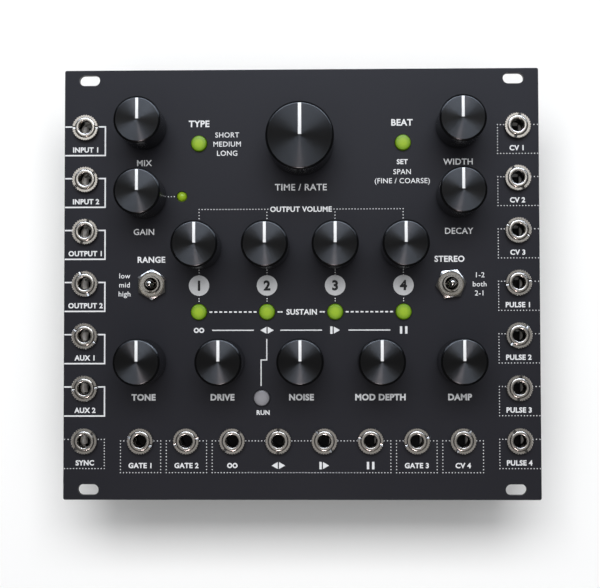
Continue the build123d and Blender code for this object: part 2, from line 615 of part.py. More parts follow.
def board_connectors():
    """Two socket strips on the control board, each on a plug strip on the processor board."""
    plug_top = PROCESSOR_FRONT_Z + CONNECTOR_PLUG_HEIGHT
    strips = [
        block(CONNECTOR_LENGTH, CONNECTOR_WIDTH, plug_top, CONTROL_BACK_Z),
        block(CONNECTOR_LENGTH, CONNECTOR_WIDTH, PROCESSOR_FRONT_Z, plug_top),
    ]
    return Compound([Pos(0, y, 0) * strip for y in (-CONNECTOR_ROW_Y, CONNECTOR_ROW_Y) for strip in strips])


def power_header():
    """Shrouded header, open to the back, with its polarising notch."""
    length = HEADER_PITCH * (HEADER_COLUMNS - 1) + 2 * HEADER_END
    mouth_z = PROCESSOR_BACK_Z - HEADER_HEIGHT
    shroud = block(length, HEADER_WIDTH, mouth_z, PROCESSOR_BACK_Z)
    inside = block(length - 2 * HEADER_WALL, HEADER_WIDTH - 2 * HEADER_WALL,
                   mouth_z - OVERRUN, PROCESSOR_BACK_Z - HEADER_FLOOR)
    key_length = HEADER_WALL + OVERRUN
    key = block(HEADER_KEY_WIDTH, key_length, mouth_z - OVERRUN, PROCESSOR_BACK_Z - HEADER_KEY_FLOOR)
    key_middle = HEADER_WIDTH / 2 - HEADER_WALL + key_length / 2
    return Pos(0, HEADER_ROW_Y, 0) * (shroud - inside - Pos(0, -key_middle, 0) * key)


def power_pins():
    top_z = PROCESSOR_BACK_Z - HEADER_FLOOR
    pin = block(PIN_WIDTH, PIN_WIDTH, top_z - PIN_HEIGHT, top_z)
    first_x = -HEADER_PITCH * (HEADER_COLUMNS - 1) / 2
    places = [(first_x + HEADER_PITCH * column, HEADER_ROW_Y + row * HEADER_PITCH / 2)
              for column in range(HEADER_COLUMNS) for row in (-1, 1)]
    return copies(pin, places)


def on_processor_board(share):
    """A place on the processor board from its shares of the half width and half height."""
    return share[0] * PROCESSOR_HALF_WIDTH, share[1] * PROCESSOR_HALF_HEIGHT


def signal_processor():
    """Square package with its corners taken off."""
    outline = chamfer(Rectangle(PROCESSOR_WIDTH, PROCESSOR_WIDTH).vertices(), PROCESSOR_CORNER)
    x, y = on_processor_board(PROCESSOR_PLACE_SHARE)
    return Pos(x, y, PROCESSOR_BACK_Z - PROCESSOR_HEIGHT) * extrude(outline, PROCESSOR_HEIGHT)


def small_chips():
    """Small packages with the end notch that marks the first pin."""
    low = PROCESSOR_BACK_Z - CHIP_HEIGHT
    chip = block(CHIP_LENGTH, CHIP_WIDTH, low, PROCESSOR_BACK_Z)
    chip -= Pos(-CHIP_LENGTH / 2, 0, 0) * disc(CHIP_NOTCH_RADIUS, low - OVERRUN, low + CHIP_HEIGHT / 2)
    return copies(chip, [on_processor_board(share) for share in CHIP_PLACE_SHARES])


def capacitor():
    """Can with a crimped neck on a square base with two corners taken off."""
    top = PROCESSOR_BACK_Z - CAPACITOR_HEIGHT
    crimp_z = PROCESSOR_BACK_Z - CAPACITOR_CRIMP_Z
    radius = CAPACITOR_DIAMETER / 2
    can = disc(radius, top, PROCESSOR_BACK_Z)
    can = fillet(can.edges().group_by(Axis.Z)[0], CAPACITOR_EDGE_RADIUS)
    ring = disc(radius + OVERRUN, crimp_z - CAPACITOR_CRIMP_HEIGHT, crimp_z)
    ring -= disc(radius - CAPACITOR_CRIMP_DEPTH, crimp_z - CAPACITOR_CRIMP_HEIGHT, crimp_z)
    square = Rectangle(CAPACITOR_BASE_WIDTH, CAPACITOR_BASE_WIDTH)
    outline = chamfer(square.vertices().group_by(Axis.Y)[-1], CAPACITOR_BASE_CORNER)
    base = Pos(0, 0, PROCESSOR_BACK_Z - CAPACITOR_BASE_HEIGHT) * extrude(outline, CAPACITOR_BASE_HEIGHT)
    return can - ring + base


def pieces():
    """Every node of the module by name."""
    small = knob(KNOB_RADIUS, KNOB_CAVITY_RADIUS)
    large = knob(MAIN_KNOB_RADIUS, MAIN_KNOB_RADIUS - MAIN_KNOB_WALL)
    shaft = pot_shaft()
    lever = toggle_lever()
    cap = button_cap()
    knob_places = list(KNOB_PLACES.values())
    toggle_places = list(TOGGLE_PLACES.values())
    nodes = {
        "front_panel": front_panel(),
        "jack_housings": copies(jack_housing(), JACK_PLACES),
        "jack_springs": copies(jack_spring(), JACK_PLACES),
        "jack_sleeves": copies(jack_sleeve(), JACK_PLACES),
        "jack_nuts": jack_nuts(),
        "pot_housings": copies(pot_housing(), knob_places),
        "pot_bushings": copies(pot_bushing(), knob_places),
        "pot_nuts": copies(pot_nut(), knob_places),
        "toggle_housings": copies(toggle_housing(), toggle_places),
        "toggle_bushings": copies(toggle_bushing(), toggle_places),
        "toggle_nuts": toggle_nuts(),
        "button_switches": copies(button_switch(), BUTTON_PLACES.values()),
        "lamp": lamp(),
        "control_board": board(BOARD_HALF_WIDTH, BOARD_HALF_HEIGHT, CONTROL_BACK_Z),
        "processor_board": board(PROCESSOR_HALF_WIDTH, PROCESSOR_HALF_HEIGHT, PROCESSOR_BACK_Z),
        "board_standoffs": copies(standoff(), STANDOFF_PLACES),
        "board_screws": board_screws(),
        "board_connectors": board_connectors(),
        "power_header": power_header(),
        "power_pins": power_pins(),
        "signal_processor": signal_processor(),
        "small_chips": small_chips(),
        "capacitors": copies(capacitor(), CAPACITOR_PLACES),
    }
    for name, (x, y) in KNOB_PLACES.items():
        nodes[f"knob_{name}"] = Pos(x, y, 0) * (large if name == "time" else small)
        nodes[f"shaft_{name}"] = Pos(x, y, 0) * shaft
    for name, (x, y) in TOGGLE_PLACES.items():
        nodes[f"lever_{name}"] = Pos(x, y, 0) * lever
    for name, (x, y) in BUTTON_PLACES.items():
        nodes[f"button_{name}"] = Pos(x, y, 0) * cap
    return nodes


def main():
    os.makedirs("parts", exist_ok=True)
    for name, piece in pieces().items():
        export_step(piece, f"parts/{name}.step")


if __name__ == "__main__":
    main()
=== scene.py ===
# %% [markdown]
# # An echo module for a synthesiser rack
# The object is a flat black panel with turning knobs, toggle switches, lit push buttons and rows of
# plug sockets. Its circuit boards are screwed together behind it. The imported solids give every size
# and place. Blender adds what a solid modeller leaves out: finishes, printing, knurls, threads,
# solder and the small parts on the boards.

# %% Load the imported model
import json
import math

import bmesh
import bpy
from mathutils import Matrix, Vector


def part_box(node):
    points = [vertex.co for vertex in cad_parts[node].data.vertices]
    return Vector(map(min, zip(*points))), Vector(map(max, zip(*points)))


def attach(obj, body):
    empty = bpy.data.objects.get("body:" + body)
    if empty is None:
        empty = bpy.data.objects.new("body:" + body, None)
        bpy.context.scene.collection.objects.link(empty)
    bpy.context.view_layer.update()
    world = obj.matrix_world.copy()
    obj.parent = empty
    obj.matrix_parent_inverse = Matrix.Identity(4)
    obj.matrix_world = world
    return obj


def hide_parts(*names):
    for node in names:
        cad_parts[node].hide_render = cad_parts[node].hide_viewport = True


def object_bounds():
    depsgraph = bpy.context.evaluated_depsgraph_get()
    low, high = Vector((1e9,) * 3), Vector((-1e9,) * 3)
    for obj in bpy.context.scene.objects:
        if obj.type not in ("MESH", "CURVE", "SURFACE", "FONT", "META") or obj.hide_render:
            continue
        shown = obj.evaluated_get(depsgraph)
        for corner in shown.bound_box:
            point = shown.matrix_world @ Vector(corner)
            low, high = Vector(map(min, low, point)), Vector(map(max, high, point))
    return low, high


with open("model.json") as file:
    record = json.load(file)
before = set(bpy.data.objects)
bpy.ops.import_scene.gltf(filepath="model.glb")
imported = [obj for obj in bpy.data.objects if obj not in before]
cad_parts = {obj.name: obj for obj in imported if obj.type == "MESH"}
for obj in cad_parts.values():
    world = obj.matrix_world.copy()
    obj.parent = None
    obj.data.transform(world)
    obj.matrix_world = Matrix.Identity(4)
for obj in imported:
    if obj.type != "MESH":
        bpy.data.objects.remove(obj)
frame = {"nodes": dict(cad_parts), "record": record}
cad_box = [list(corner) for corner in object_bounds()]
MM = 0.001
print("CAD box in mm", [[round(v / MM, 1) for v in corner] for corner in cad_box])

# %% [markdown]
# ## The camera
# The photograph looks almost straight down on the panel, from a little below its middle. The eye's
# place, the line of sight and the focal length were found by matching the panel's corners and the
# sockets, so that each piece lands on its own pixels.

# %% Place the camera
SENSOR_WIDTH = 36.0
FOCAL_LENGTH_SHARE = 2.2467
EYE = Vector((9.0, -18.2, 403.4))
LINE_OF_SIGHT = Vector((-0.0232, 0.0374, -0.9990)).normalized()
PICTURE_UP = Vector((0.0019, 1.0, 0.0))

to_the_right = LINE_OF_SIGHT.cross(PICTURE_UP).normalized()
upwards = to_the_right.cross(LINE_OF_SIGHT)
camera_turn = Matrix((to_the_right, upwards, -LINE_OF_SIGHT)).transposed().to_euler()
bpy.ops.object.camera_add(location=EYE * MM, rotation=camera_turn)
camera = bpy.context.object
camera.data.sensor_width = SENSOR_WIDTH
camera.data.lens = SENSOR_WIDTH * FOCAL_LENGTH_SHARE
camera.data.clip_start = MM
bpy.context.scene.camera = camera
bpy.context.scene.view_settings.view_transform = "Standard"
print("lens", round(camera.data.lens, 1), "mm")

# %% [markdown]
# ## Finishes as expressions
# A finish is a small network of shader nodes. Written out link by link it is hard to read, so two
# small classes do the wiring: a Value is one output, and sums and products of Values add Math nodes;
# a Finish is one material, and every other node comes from its one method, node().

# %% Wire shader nodes with Python operators
class Value:
    """One node output; arithmetic on it adds Math nodes to its finish."""

    def __init__(self, finish, socket):
        self.finish = finish
        self.socket = socket

    def math(self, operation, first, second):
        return self.finish.node("Math", {"operation": operation}, {0: first, 1: second})

    def __add__(self, other):
        return self.math("ADD", self, other)

    def __radd__(self, other):
        return self.math("ADD", other, self)

    def __sub__(self, other):
        return self.math("SUBTRACT", self, other)

    def __rsub__(self, other):
        return self.math("SUBTRACT", other, self)

    def __mul__(self, other):
        return self.math("MULTIPLY", self, other)

    def __rmul__(self, other):
        return self.math("MULTIPLY", other, self)

    def __gt__(self, other):
        return self.math("GREATER_THAN", self, other)

    def __lt__(self, other):
        return self.math("LESS_THAN", self, other)


class Finish:
    """One material: its shader's constant sockets, and the one way that nodes are added."""

    def __init__(self, name, constants):
        self.material = bpy.data.materials.new(name)
        self.material.use_nodes = True
        self.tree = self.material.node_tree
        self.shader = self.tree.nodes["Principled BSDF"]
        for socket, value in constants.items():
            self.shader.inputs[socket].default_value = value

    def node(self, kind, settings, sockets, output=0):
        """Adds a shader node, sets it up, fills its sockets and gives back one output."""
        node = self.tree.nodes.new("ShaderNode" + kind)
        for name, setting in settings.items():
            setattr(node, name, setting)
        for name, value in sockets.items():
            if isinstance(value, Value):
                self.tree.links.new(value.socket, node.inputs[name])
            else:
                node.inputs[name].default_value = value
        return Value(self, node.outputs[output])

    def feed(self, **values):
        """Links values to the shader's sockets, named with underscores for spaces."""
        for name, value in values.items():
            self.tree.links.new(value.socket, self.shader.inputs[name.replace("_", " ")])

    def place(self):
        """The point on the object, in metres."""
        return self.node("TexCoord", {}, {}, "Object")

    def noise(self, size, detail=2.0):
        """Cloudy values from 0 to 1, with blotches about as large as a size in millimetres."""
        scale = 1 / (size * MM)
        return self.node("TexNoise", {}, {"Vector": self.place(), "Scale": scale, "Detail": detail})

    def blend(self, share, first, second):
        """A colour between two others. A Mix node has its colours in sockets 6 and 7 and output 2."""
        return self.node("Mix", {"data_type": "RGBA"}, {0: share, 6: first, 7: second}, 2)

    def bump(self, height, depth):
        """A normal that follows a height, given the depth in millimetres of a height of 1."""
        return self.node("Bump", {}, {"Height": height, "Distance": depth * MM})


def shade(red, green, blue):
    """A colour with full opacity."""
    return (red, green, blue, 1.0)


print("Value and Finish are ready")

# %% [markdown]
# ## Floor and light
# The module lies on a white table. The photograph's shadow tells where the light is: it is longest below
# the panel and equally soft left and right, so one softbox hangs high up, leaning over the top edge, and
# a broad fill straight above lightens its shadow. The fans of light on the knobs ask for long strips
# further back, brighter in the middle, and for a narrow warm one on the near side. Two panels overhead
# give the plated pieces something to mirror. Blender lets a lamp be limited to one task: the softbox and
# the fill cast shadows and are left out of reflections, and all the others are only reflected.

# %% Floor, lights and surroundings
FLOOR_SIZE = 4000.0
floor_paint = Finish("floor_white", {"Roughness": 0.9})
floor_cloud = floor_paint.noise(400.0)
floor_paint.feed(Base_Color=floor_paint.blend(floor_cloud, shade(0.86, 0.86, 0.86), shade(0.9, 0.9, 0.9)))

bpy.ops.object.select_all(action="DESELECT")
bpy.ops.mesh.primitive_plane_add(size=FLOOR_SIZE * MM, location=(0, 0, cad_box[0][2]))
floor = bpy.context.object
floor.name = "floor"
floor.data.materials.append(floor_paint.material)


def softbox(name, place, size, power, colour, shadows=True, reflections=True):
    """A rectangular light that faces the middle of the panel, sizes in millimetres."""
    turn = (-Vector(place)).to_track_quat("-Z", "Y").to_euler()
    bpy.ops.object.light_add(type="AREA", location=Vector(place) * MM, rotation=turn)
    light = bpy.context.object
    light.name = name
    light.data.shape = "RECTANGLE"
    light.data.size = size[0] * MM
    light.data.size_y = size[1] * MM
    light.data.energy = power
    light.data.color = colour
    light.visible_diffuse = shadows
    light.visible_glossy = reflections


softbox("light_above", (0, 342, 777), (650, 325), 6.0, (1.0, 1.0, 1.0), reflections=False)
softbox("light_fill", (0, 0, 1290), (1780, 1780), 12.6, (1.0, 1.0, 1.0), reflections=False)
softbox("light_overhead", (-25, 290, 900), (520, 400), 0.82, (1.0, 0.99, 0.97), shadows=False)
softbox("light_ceiling", (0, -160, 900), (560, 480), 0.25, (1.0, 0.975, 0.94), shadows=False)
softbox("light_near", (-20, -470, 640), (90, 240), 1.6, (1.0, 0.88, 0.90), shadows=False)
for width, power in ((450, 5.0), (900, 8.7), (1700, 5.0)):
    softbox(f"light_strip_{width}", (30, 540, 600), (width, 260), power, (0.72, 0.82, 1.0), shadows=False)

world = bpy.data.worlds.new("studio")
world.use_nodes = True
world.node_tree.nodes["Background"].inputs["Color"].default_value = shade(0.95, 0.97, 1.0)
world.node_tree.nodes["Background"].inputs["Strength"].default_value = 0.07
bpy.context.scene.world = world
print("floor at", round(cad_box[0][2] / MM, 1), "mm")

# %% [markdown]
# ## Steps that come back
# Some steps are the same for every piece, so they are written once. Blender's operators act on whatever is
# selected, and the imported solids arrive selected, so each step first selects its own object alone. A
# piece is settled when its seams are closed and its faces point outwards. It is dressed when it has its
# finish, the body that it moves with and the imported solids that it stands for.

# %% Starting, settling and dressing a piece
MERGE_DISTANCE = 0.001
SHARP_ANGLE = math.radians(40)
BEVEL_SEGMENTS = 2


def fresh(add, stretch=(1, 1, 1), **settings):
    """A new primitive, selected alone, with its place and its stretch moved into its mesh."""
    bpy.ops.object.select_all(action="DESELECT")
    add(**settings)
    part = bpy.context.object
    part.scale = stretch
    bpy.ops.object.transform_apply(location=True, rotation=True, scale=True)
    return part


def alone(part):
    """Makes one object the only selected and the active one, in object mode."""
    if bpy.context.object and bpy.context.object.mode == "EDIT":
        bpy.ops.object.mode_set(mode="OBJECT")
    bpy.ops.object.select_all(action="DESELECT")
    part.select_set(True)
    bpy.context.view_layer.objects.active = part


def edit(part):
    """Opens one object in edit mode with everything on it selected."""
    alone(part)
    bpy.ops.object.mode_set(mode="EDIT")
    bpy.ops.mesh.select_all(action="SELECT")


def extrude(x, y, z):
    """In edit mode, extrudes what is selected by a step in millimetres."""
    bpy.ops.mesh.extrude_region_move(TRANSFORM_OT_translate={"value": (x * MM, y * MM, z * MM)})


def settle(part, name, angle=30):
    """Names a piece, closes its seams, turns its faces outwards and smooths its rounds."""
    edit(part)
    bpy.ops.mesh.remove_doubles(threshold=MERGE_DISTANCE * MM)
    bpy.ops.mesh.fill_holes(sides=0)
    bpy.ops.mesh.normals_make_consistent(inside=False)
    alone(part)
    bpy.ops.object.shade_smooth_by_angle(angle=math.radians(angle))
    part.name = name
    part.data.name = name
    return part


def bevelled(part, width):
    """Rounds a piece's sharp edges with an applied Bevel modifier."""
    alone(part)
    bevel = part.modifiers.new("bevel", "BEVEL")
    bevel.width = width * MM
    bevel.segments = BEVEL_SEGMENTS
    bevel.limit_method = "ANGLE"
    bevel.angle_limit = SHARP_ANGLE
    bpy.ops.object.modifier_apply(modifier=bevel.name)
    return part


def joined(name, parts):
    """Several objects as one."""
    alone(parts[0])
    for part in parts:
        part.select_set(True)
    bpy.ops.object.join()
    whole = bpy.context.object
    whole.name = name
    whole.data.name = name
    return whole


def dressed(part, finish, body, slot, *nodes):
    """Gives a piece its finish, its body and the nodes that it stands for. The slot is not used."""
    part.data.materials.clear()
    part.data.materials.append(finish.material)
    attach(part, body)
    if nodes:
        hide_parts(*nodes)
    return part


print("points closer than", MERGE_DISTANCE, "mm are merged")

# %% [markdown]
# ## The panel
# The panel is sheet aluminium, milled, bead-blasted and anodised black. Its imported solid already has
# every hole, so a copy of that mesh is merged, its flat triangles are dissolved into large faces, and a
# bevel breaks the edges as deburring does. The finish is a dark satin with a grain finer than a hair.

# %% Panel
FLAT_ANGLE = math.radians(1)
DEBURR = 0.12


def cad_copy(node):
    """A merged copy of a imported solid's mesh, with its flat triangles dissolved."""
    part = frame["nodes"][node].copy()
    part.data = part.data.copy()
    part.parent = None
    part.matrix_world = Matrix.Identity(4)
    bpy.context.collection.objects.link(part)
    edit(part)
    bpy.ops.mesh.customdata_custom_splitnormals_clear()
    bpy.ops.mesh.remove_doubles(threshold=MERGE_DISTANCE * MM)
    bpy.ops.mesh.dissolve_limited(angle_limit=FLAT_ANGLE)
    alone(part)
    return part


def satin_black():
    """Black anodised sheet: a cloudy tone and a fine, slightly rough grain."""
    finish = Finish("panel_black", {"IOR": 1.5, "Specular IOR Level": 0.14})
    grain = finish.noise(0.16, 3.0)
    cloud = finish.noise(35.0)
    finish.feed(Base_Color=finish.blend(cloud, shade(0.0107, 0.0108, 0.0143), shade(0.0129, 0.013, 0.0168)),
                Roughness=0.30 + 0.12 * grain, Normal=finish.bump(grain, 0.004))
    return finish


panel_finish = satin_black()
panel = settle(bevelled(cad_copy("front_panel"), DEBURR), "panel", angle=20)
dressed(panel, panel_finish, "module", "panel_black", "front_panel")
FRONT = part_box("front_panel")[1].z / MM
print("panel", len(panel.data.polygons), "faces, front at", round(FRONT, 2), "mm")

# %% [markdown]
# ## Printed lines
# The white printing is a film of ink a few hundredths of a millimetre thick. A picture on the panel could
# show it, but it would blur close up, so each stroke is a thin shape of its own. A solid line is a plane
# drawn to its length and raised by one extrusion. A dotted line is one small disc that an Array modifier
# repeats along the line. Ink and paint share one finish: a fine noise varies the colour and the gloss.

# %% Drawing with ink
INK = 0.03
LINE_WIDTH = 0.42
DOT_RADIUS = 0.165
DOT_SIDES = 10
DOT_PITCH = 0.9
INK_ROUGHNESS = (0.55, 0.15)


def raised(part):
    """Lifts a flat shape on the panel to the thickness of the ink."""
    edit(part)
    extrude(0, 0, INK)
    return settle(part, "ink")


def solid_line(start, end, width=LINE_WIDTH):
    """A stroke of ink from one place on the panel to another, along X or Y."""
    (x0, y0), (x1, y1) = start, end
    stretch = Vector((abs(x1 - x0) + width, abs(y1 - y0) + width, 1)) * MM
    centre = Vector(((x0 + x1) / 2, (y0 + y1) / 2, FRONT)) * MM
    return raised(fresh(bpy.ops.mesh.primitive_plane_add, stretch, size=1, location=centre))


def flat_polygon(x, y, radius, sides, turn=0.0):
    """A filled regular polygon on the panel."""
    return fresh(bpy.ops.mesh.primitive_circle_add, vertices=sides, radius=radius * MM, fill_type="NGON",
                 location=Vector((x, y, FRONT)) * MM, rotation=(0, 0, turn))


def dotted_line(start, end):
    """A row of ink dots, evenly spaced so that both ends have one."""
    run = Vector((*end, 0)) - Vector((*start, 0))
    gaps = max(1, round(run.length / DOT_PITCH))
    part = raised(flat_polygon(*start, DOT_RADIUS, DOT_SIDES))
    row = part.modifiers.new("row", "ARRAY")
    row.count = gaps + 1
    row.use_relative_offset = False
    row.use_constant_offset = True
    row.constant_offset_displace = run / gaps * MM
    bpy.ops.object.modifier_apply(modifier=row.name)
    return part


def coat(name, constants, grain, dark, light, roughness, spread):
    """Ink or paint: a fine noise varies its colour and its roughness."""
    finish = Finish(name, constants)
    speck = finish.noise(grain, 3.0)
    finish.feed(Base_Color=finish.blend(speck, dark, light), Roughness=roughness + spread * speck)
    return finish


ink_finish = coat("print_white", {"IOR": 1.45}, 0.25, shade(0.55, 0.56, 0.575), shade(0.68, 0.685, 0.70),
                  *INK_ROUGHNESS)
print("ink is", INK, "mm thick")

# %% [markdown]
# Each socket stands on the upper line of a printed box, which is left open where its nut is in the way. The
# sockets' places come from the record's mounts, so the boxes follow the sockets. The six upper left boxes
# are solid and the others dotted, and those at the sides run to the panel's edge.

# %% Boxes round the sockets
mounts = {mount["name"]: Vector(mount["pos_m"]) / MM for mount in frame["record"]["mounts"]}
SIDE_SOCKETS = 7
LOWER_SOCKETS = 8
SOLID_BOXES = 6
left_jacks = [mounts[f"jack_left_{i + 1}"] for i in range(SIDE_SOCKETS)]
right_jacks = [mounts[f"jack_right_{i + 1}"] for i in range(SIDE_SOCKETS)]
lower_jacks = [mounts[f"jack_lower_{i + 1}"] for i in range(LOWER_SOCKETS)]
sign_jacks = lower_jacks[2:6]
EDGE_MARGIN = 0.35
PANEL_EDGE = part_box("front_panel")[1].x / MM - EDGE_MARGIN
BOX_SIDE = 58.7
BOX_DROP = 8.2
JACK_CLEAR = 4.0
BOX_RISE = 0.45
LOWER_DROP = 9.4
LOWER_MARGIN = 6.0
HAIRLINE = 0.01
ink = []


def upright(x, low, top, draw):
    """A stroke between two level ones, which keep the corners."""
    gap = DOT_PITCH if draw is dotted_line else LINE_WIDTH + HAIRLINE
    return draw((x, low + gap), (x, top - gap))


def side_box(jack, draw):
    """A box from a side socket to the panel's edge, open where the socket is."""
    side = math.copysign(1, jack.x)
    edge, inner = side * PANEL_EDGE, side * BOX_SIDE
    low, top = jack.y - BOX_DROP, jack.y + BOX_RISE
    level = [((edge, low), (inner, low)), ((inner, top), (jack.x - side * JACK_CLEAR, top)),
             ((jack.x + side * JACK_CLEAR, top), (edge, top))]
    return [upright(inner, low, top, draw)] + [draw(*stroke) for stroke in level]


def lower_box(jacks, draw):
    """A box under one or more of the lower sockets, open where they are."""
    left, right = jacks[0].x - LOWER_MARGIN, jacks[-1].x + LOWER_MARGIN
    top, low = jacks[0].y, jacks[0].y - LOWER_DROP
    stops = [left] + [jack.x + side * JACK_CLEAR for jack in jacks for side in (-1, 1)] + [right]
    level = [((left, low), (right, low))]
    level += [((stops[i], top), (stops[i + 1], top)) for i in range(0, len(stops), 2)]
    return [upright(x, low, top, draw) for x in (left, right)] + [draw(*stroke) for stroke in level]


for jack in left_jacks[:SOLID_BOXES]:
    ink += side_box(jack, solid_line)
for jack in left_jacks[SOLID_BOXES:] + right_jacks:
    ink += side_box(jack, dotted_line)
for group in (lower_jacks[:1], lower_jacks[1:2], sign_jacks, lower_jacks[6:7], lower_jacks[7:]):
    ink += lower_box(group, dotted_line)
print("boxes drawn with", len(ink), "strokes")

# %% [markdown]
# Thin lines join what belongs together: a dotted bracket hangs over the four echo knobs, dots lead on
# to their number discs and buttons, and a dashed line runs from button to button. A line that ends at a
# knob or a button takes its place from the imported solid, and only the free heights are values.

# %% Lines that join the controls
LINK_CLEAR = 0.9
SPREAD_Y = 22.2
SPREAD_WORD_HALF = 9.9
DISC_Y = -0.6
DISC_RADIUS = 3.05
CAP_RADIUS = 2.35
DASH_LENGTH = 0.45
SIGN_LINE_WIDTH = 0.32
DASH_PITCH = 1.5
DASH_CLEAR = 1.0
SHORT_DASH = 0.25
SUSTAIN_WORD_HALF = 5.75
SIGN_Y = -13.95
SIGN_CLEAR = 4.1
JOG_ENDS = ((-10.25, -16.7), (-11.95, -30.4))
JOG_Y = -22.8
METER_RUN = (-40.6, -37.9)
ECHOES = range(1, 5)


def middle(node):
    """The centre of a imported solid's box, in millimetres."""
    low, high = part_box(node)
    return (Vector(low) + Vector(high)) / 2 / MM


def radius_of(node):
    """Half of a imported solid's width, in millimetres."""
    low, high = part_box(node)
    return (high[0] - low[0]) / 2 / MM


def dashed_line(start, end, y, dash=DASH_LENGTH):
    """Short strokes at one height, from one place to another along X."""
    gaps = max(1, round((end - start - dash) / DASH_PITCH))
    step = (end - start - dash) / gaps
    return [solid_line((start + step * i, y), (start + step * i + dash, y)) for i in range(gaps + 1)]


echo_knobs = [middle(f"knob_echo_{i}") for i in ECHOES]
echo_buttons = [middle(f"button_echo_{i}") for i in ECHOES]
knob_radius = radius_of("knob_echo_1")
ink.append(dotted_line((echo_knobs[0].x, SPREAD_Y), (-SPREAD_WORD_HALF, SPREAD_Y)))
ink.append(dotted_line((SPREAD_WORD_HALF, SPREAD_Y), (echo_knobs[-1].x, SPREAD_Y)))
for knob, button in zip(echo_knobs, echo_buttons):
    above, below = knob.y + knob_radius, knob.y - knob_radius
    ink.append(dotted_line((knob.x, SPREAD_Y - DOT_PITCH), (knob.x, above)))
    ink.append(dotted_line((knob.x, below), (knob.x, DISC_Y + DISC_RADIUS)))
    ink.append(dotted_line((knob.x, DISC_Y - DISC_RADIUS - LINK_CLEAR),
                           (knob.x, button.y + CAP_RADIUS + LINK_CLEAR)))
for left, right in zip(echo_buttons, echo_buttons[1:]):
    start, end = left.x + CAP_RADIUS + DASH_CLEAR, right.x - CAP_RADIUS - DASH_CLEAR
    if left.x < 0 < right.x:
        ink += dashed_line(start, -SUSTAIN_WORD_HALF, left.y, SHORT_DASH)
        ink += dashed_line(SUSTAIN_WORD_HALF, end, left.y, SHORT_DASH)
    else:
        ink += dashed_line(start, end, left.y)
    ink.append(solid_line((left.x + SIGN_CLEAR, SIGN_Y), (right.x - SIGN_CLEAR, SIGN_Y), SIGN_LINE_WIDTH))
(upper_x, jog_top), (lower_x, jog_foot) = JOG_ENDS
jog_gap = SIGN_LINE_WIDTH + HAIRLINE
ink.append(solid_line((upper_x, jog_top), (upper_x, JOG_Y), SIGN_LINE_WIDTH))
ink.append(solid_line((upper_x - jog_gap, JOG_Y), (lower_x + jog_gap, JOG_Y), SIGN_LINE_WIDTH))
ink.append(solid_line((lower_x, JOG_Y), (lower_x, jog_foot), SIGN_LINE_WIDTH))
lamp_y = middle("lamp").y
ink.append(dotted_line((METER_RUN[0], lamp_y), (METER_RUN[1], lamp_y)))
lines = dressed(joined("panel_lines", ink), ink_finish, "module", "panel_black")
print("lines", len(lines.data.polygons), "faces")

# %% [markdown]
# ## Words and signs
# The legends are plain working words of any such effect. Blender's own font is extruded to the ink's
# thickness and fattened a little, because screen-printed legends are bold. Each word becomes a mesh
# before it is moved, so that its place lies in its mesh as it does in every other piece.

# %% Words under the controls
CAPITAL_SHARE = 0.69
BOLD_SHARE = 0.014
LETTER_SPACE = 1.06
CURVE_STEPS = 3
JACK_WEIGHT = 2.5
LOWER_KNOB_WEIGHT = 3
KNOB_WORD_DROP = 10.55
JACK_WORD_DROP = 6.5
LOWER_WORD_DROP = 7.3
KNOB_CAPITAL = 1.75
TIME_WORD_DROP = 13.2
TIME_CAPITAL = 1.9
JACK_CAPITAL = 1.45


def word(text, x, y, capital, weight=1):
    """A word in ink, centred on a place, with capitals of a height in millimetres and strokes of a weight."""
    bpy.ops.object.select_all(action="DESELECT")
    bpy.ops.object.text_add()
    part = bpy.context.object
    part.data.body = text
    part.data.align_x = "CENTER"
    part.data.size = 1.0
    part.data.space_character = LETTER_SPACE
    part.data.offset = weight * BOLD_SHARE
    part.data.resolution_u = CURVE_STEPS
    bpy.ops.object.convert(target="MESH")
    size = capital / CAPITAL_SHARE * MM
    corner = Vector((x, y - capital / 2, FRONT)) * MM
    part.data.transform(Matrix.Translation(corner) @ Matrix.Scale(size, 4))
    return raised(part)


KNOB_WORDS = {"mix": "MIX", "gain": "GAIN", "width": "WIDTH", "decay": "DECAY", "tone": "TONE",
              "drive": "DRIVE", "noise": "NOISE", "depth": "MOD DEPTH", "damp": "DAMP"}
LEFT_WORDS = ["INPUT 1", "INPUT 2", "OUTPUT 1", "OUTPUT 2", "AUX 1", "AUX 2", "SYNC"]
RIGHT_WORDS = ["CV 1", "CV 2", "CV 3", "PULSE 1", "PULSE 2", "PULSE 3", "PULSE 4"]
LOWER_WORDS = {0: "GATE 1", 1: "GATE 2", 6: "GATE 3", 7: "CV 4"}
words = []
for name, text in KNOB_WORDS.items():
    place = middle(f"knob_{name}")
    weight = 1 if place.y > 0 else LOWER_KNOB_WEIGHT
    words.append(word(text, place.x, place.y - KNOB_WORD_DROP, KNOB_CAPITAL, weight))
for jack, text in zip(left_jacks + right_jacks, LEFT_WORDS + RIGHT_WORDS):
    words.append(word(text, jack.x, jack.y - JACK_WORD_DROP, JACK_CAPITAL, JACK_WEIGHT))
for i, text in LOWER_WORDS.items():
    jack = lower_jacks[i]
    words.append(word(text, jack.x, jack.y - LOWER_WORD_DROP, JACK_CAPITAL, JACK_WEIGHT))
time_place = middle("knob_time")
words.append(word("TIME / RATE", time_place.x, time_place.y - TIME_WORD_DROP, TIME_CAPITAL))
print("words under the controls", len(words))

# %% [markdown]
# Headings and short lists stand beside the buttons and the toggle switches. Each row of the tables names
# the piece that the words belong to and gives their distance across and up from it, so they follow it.

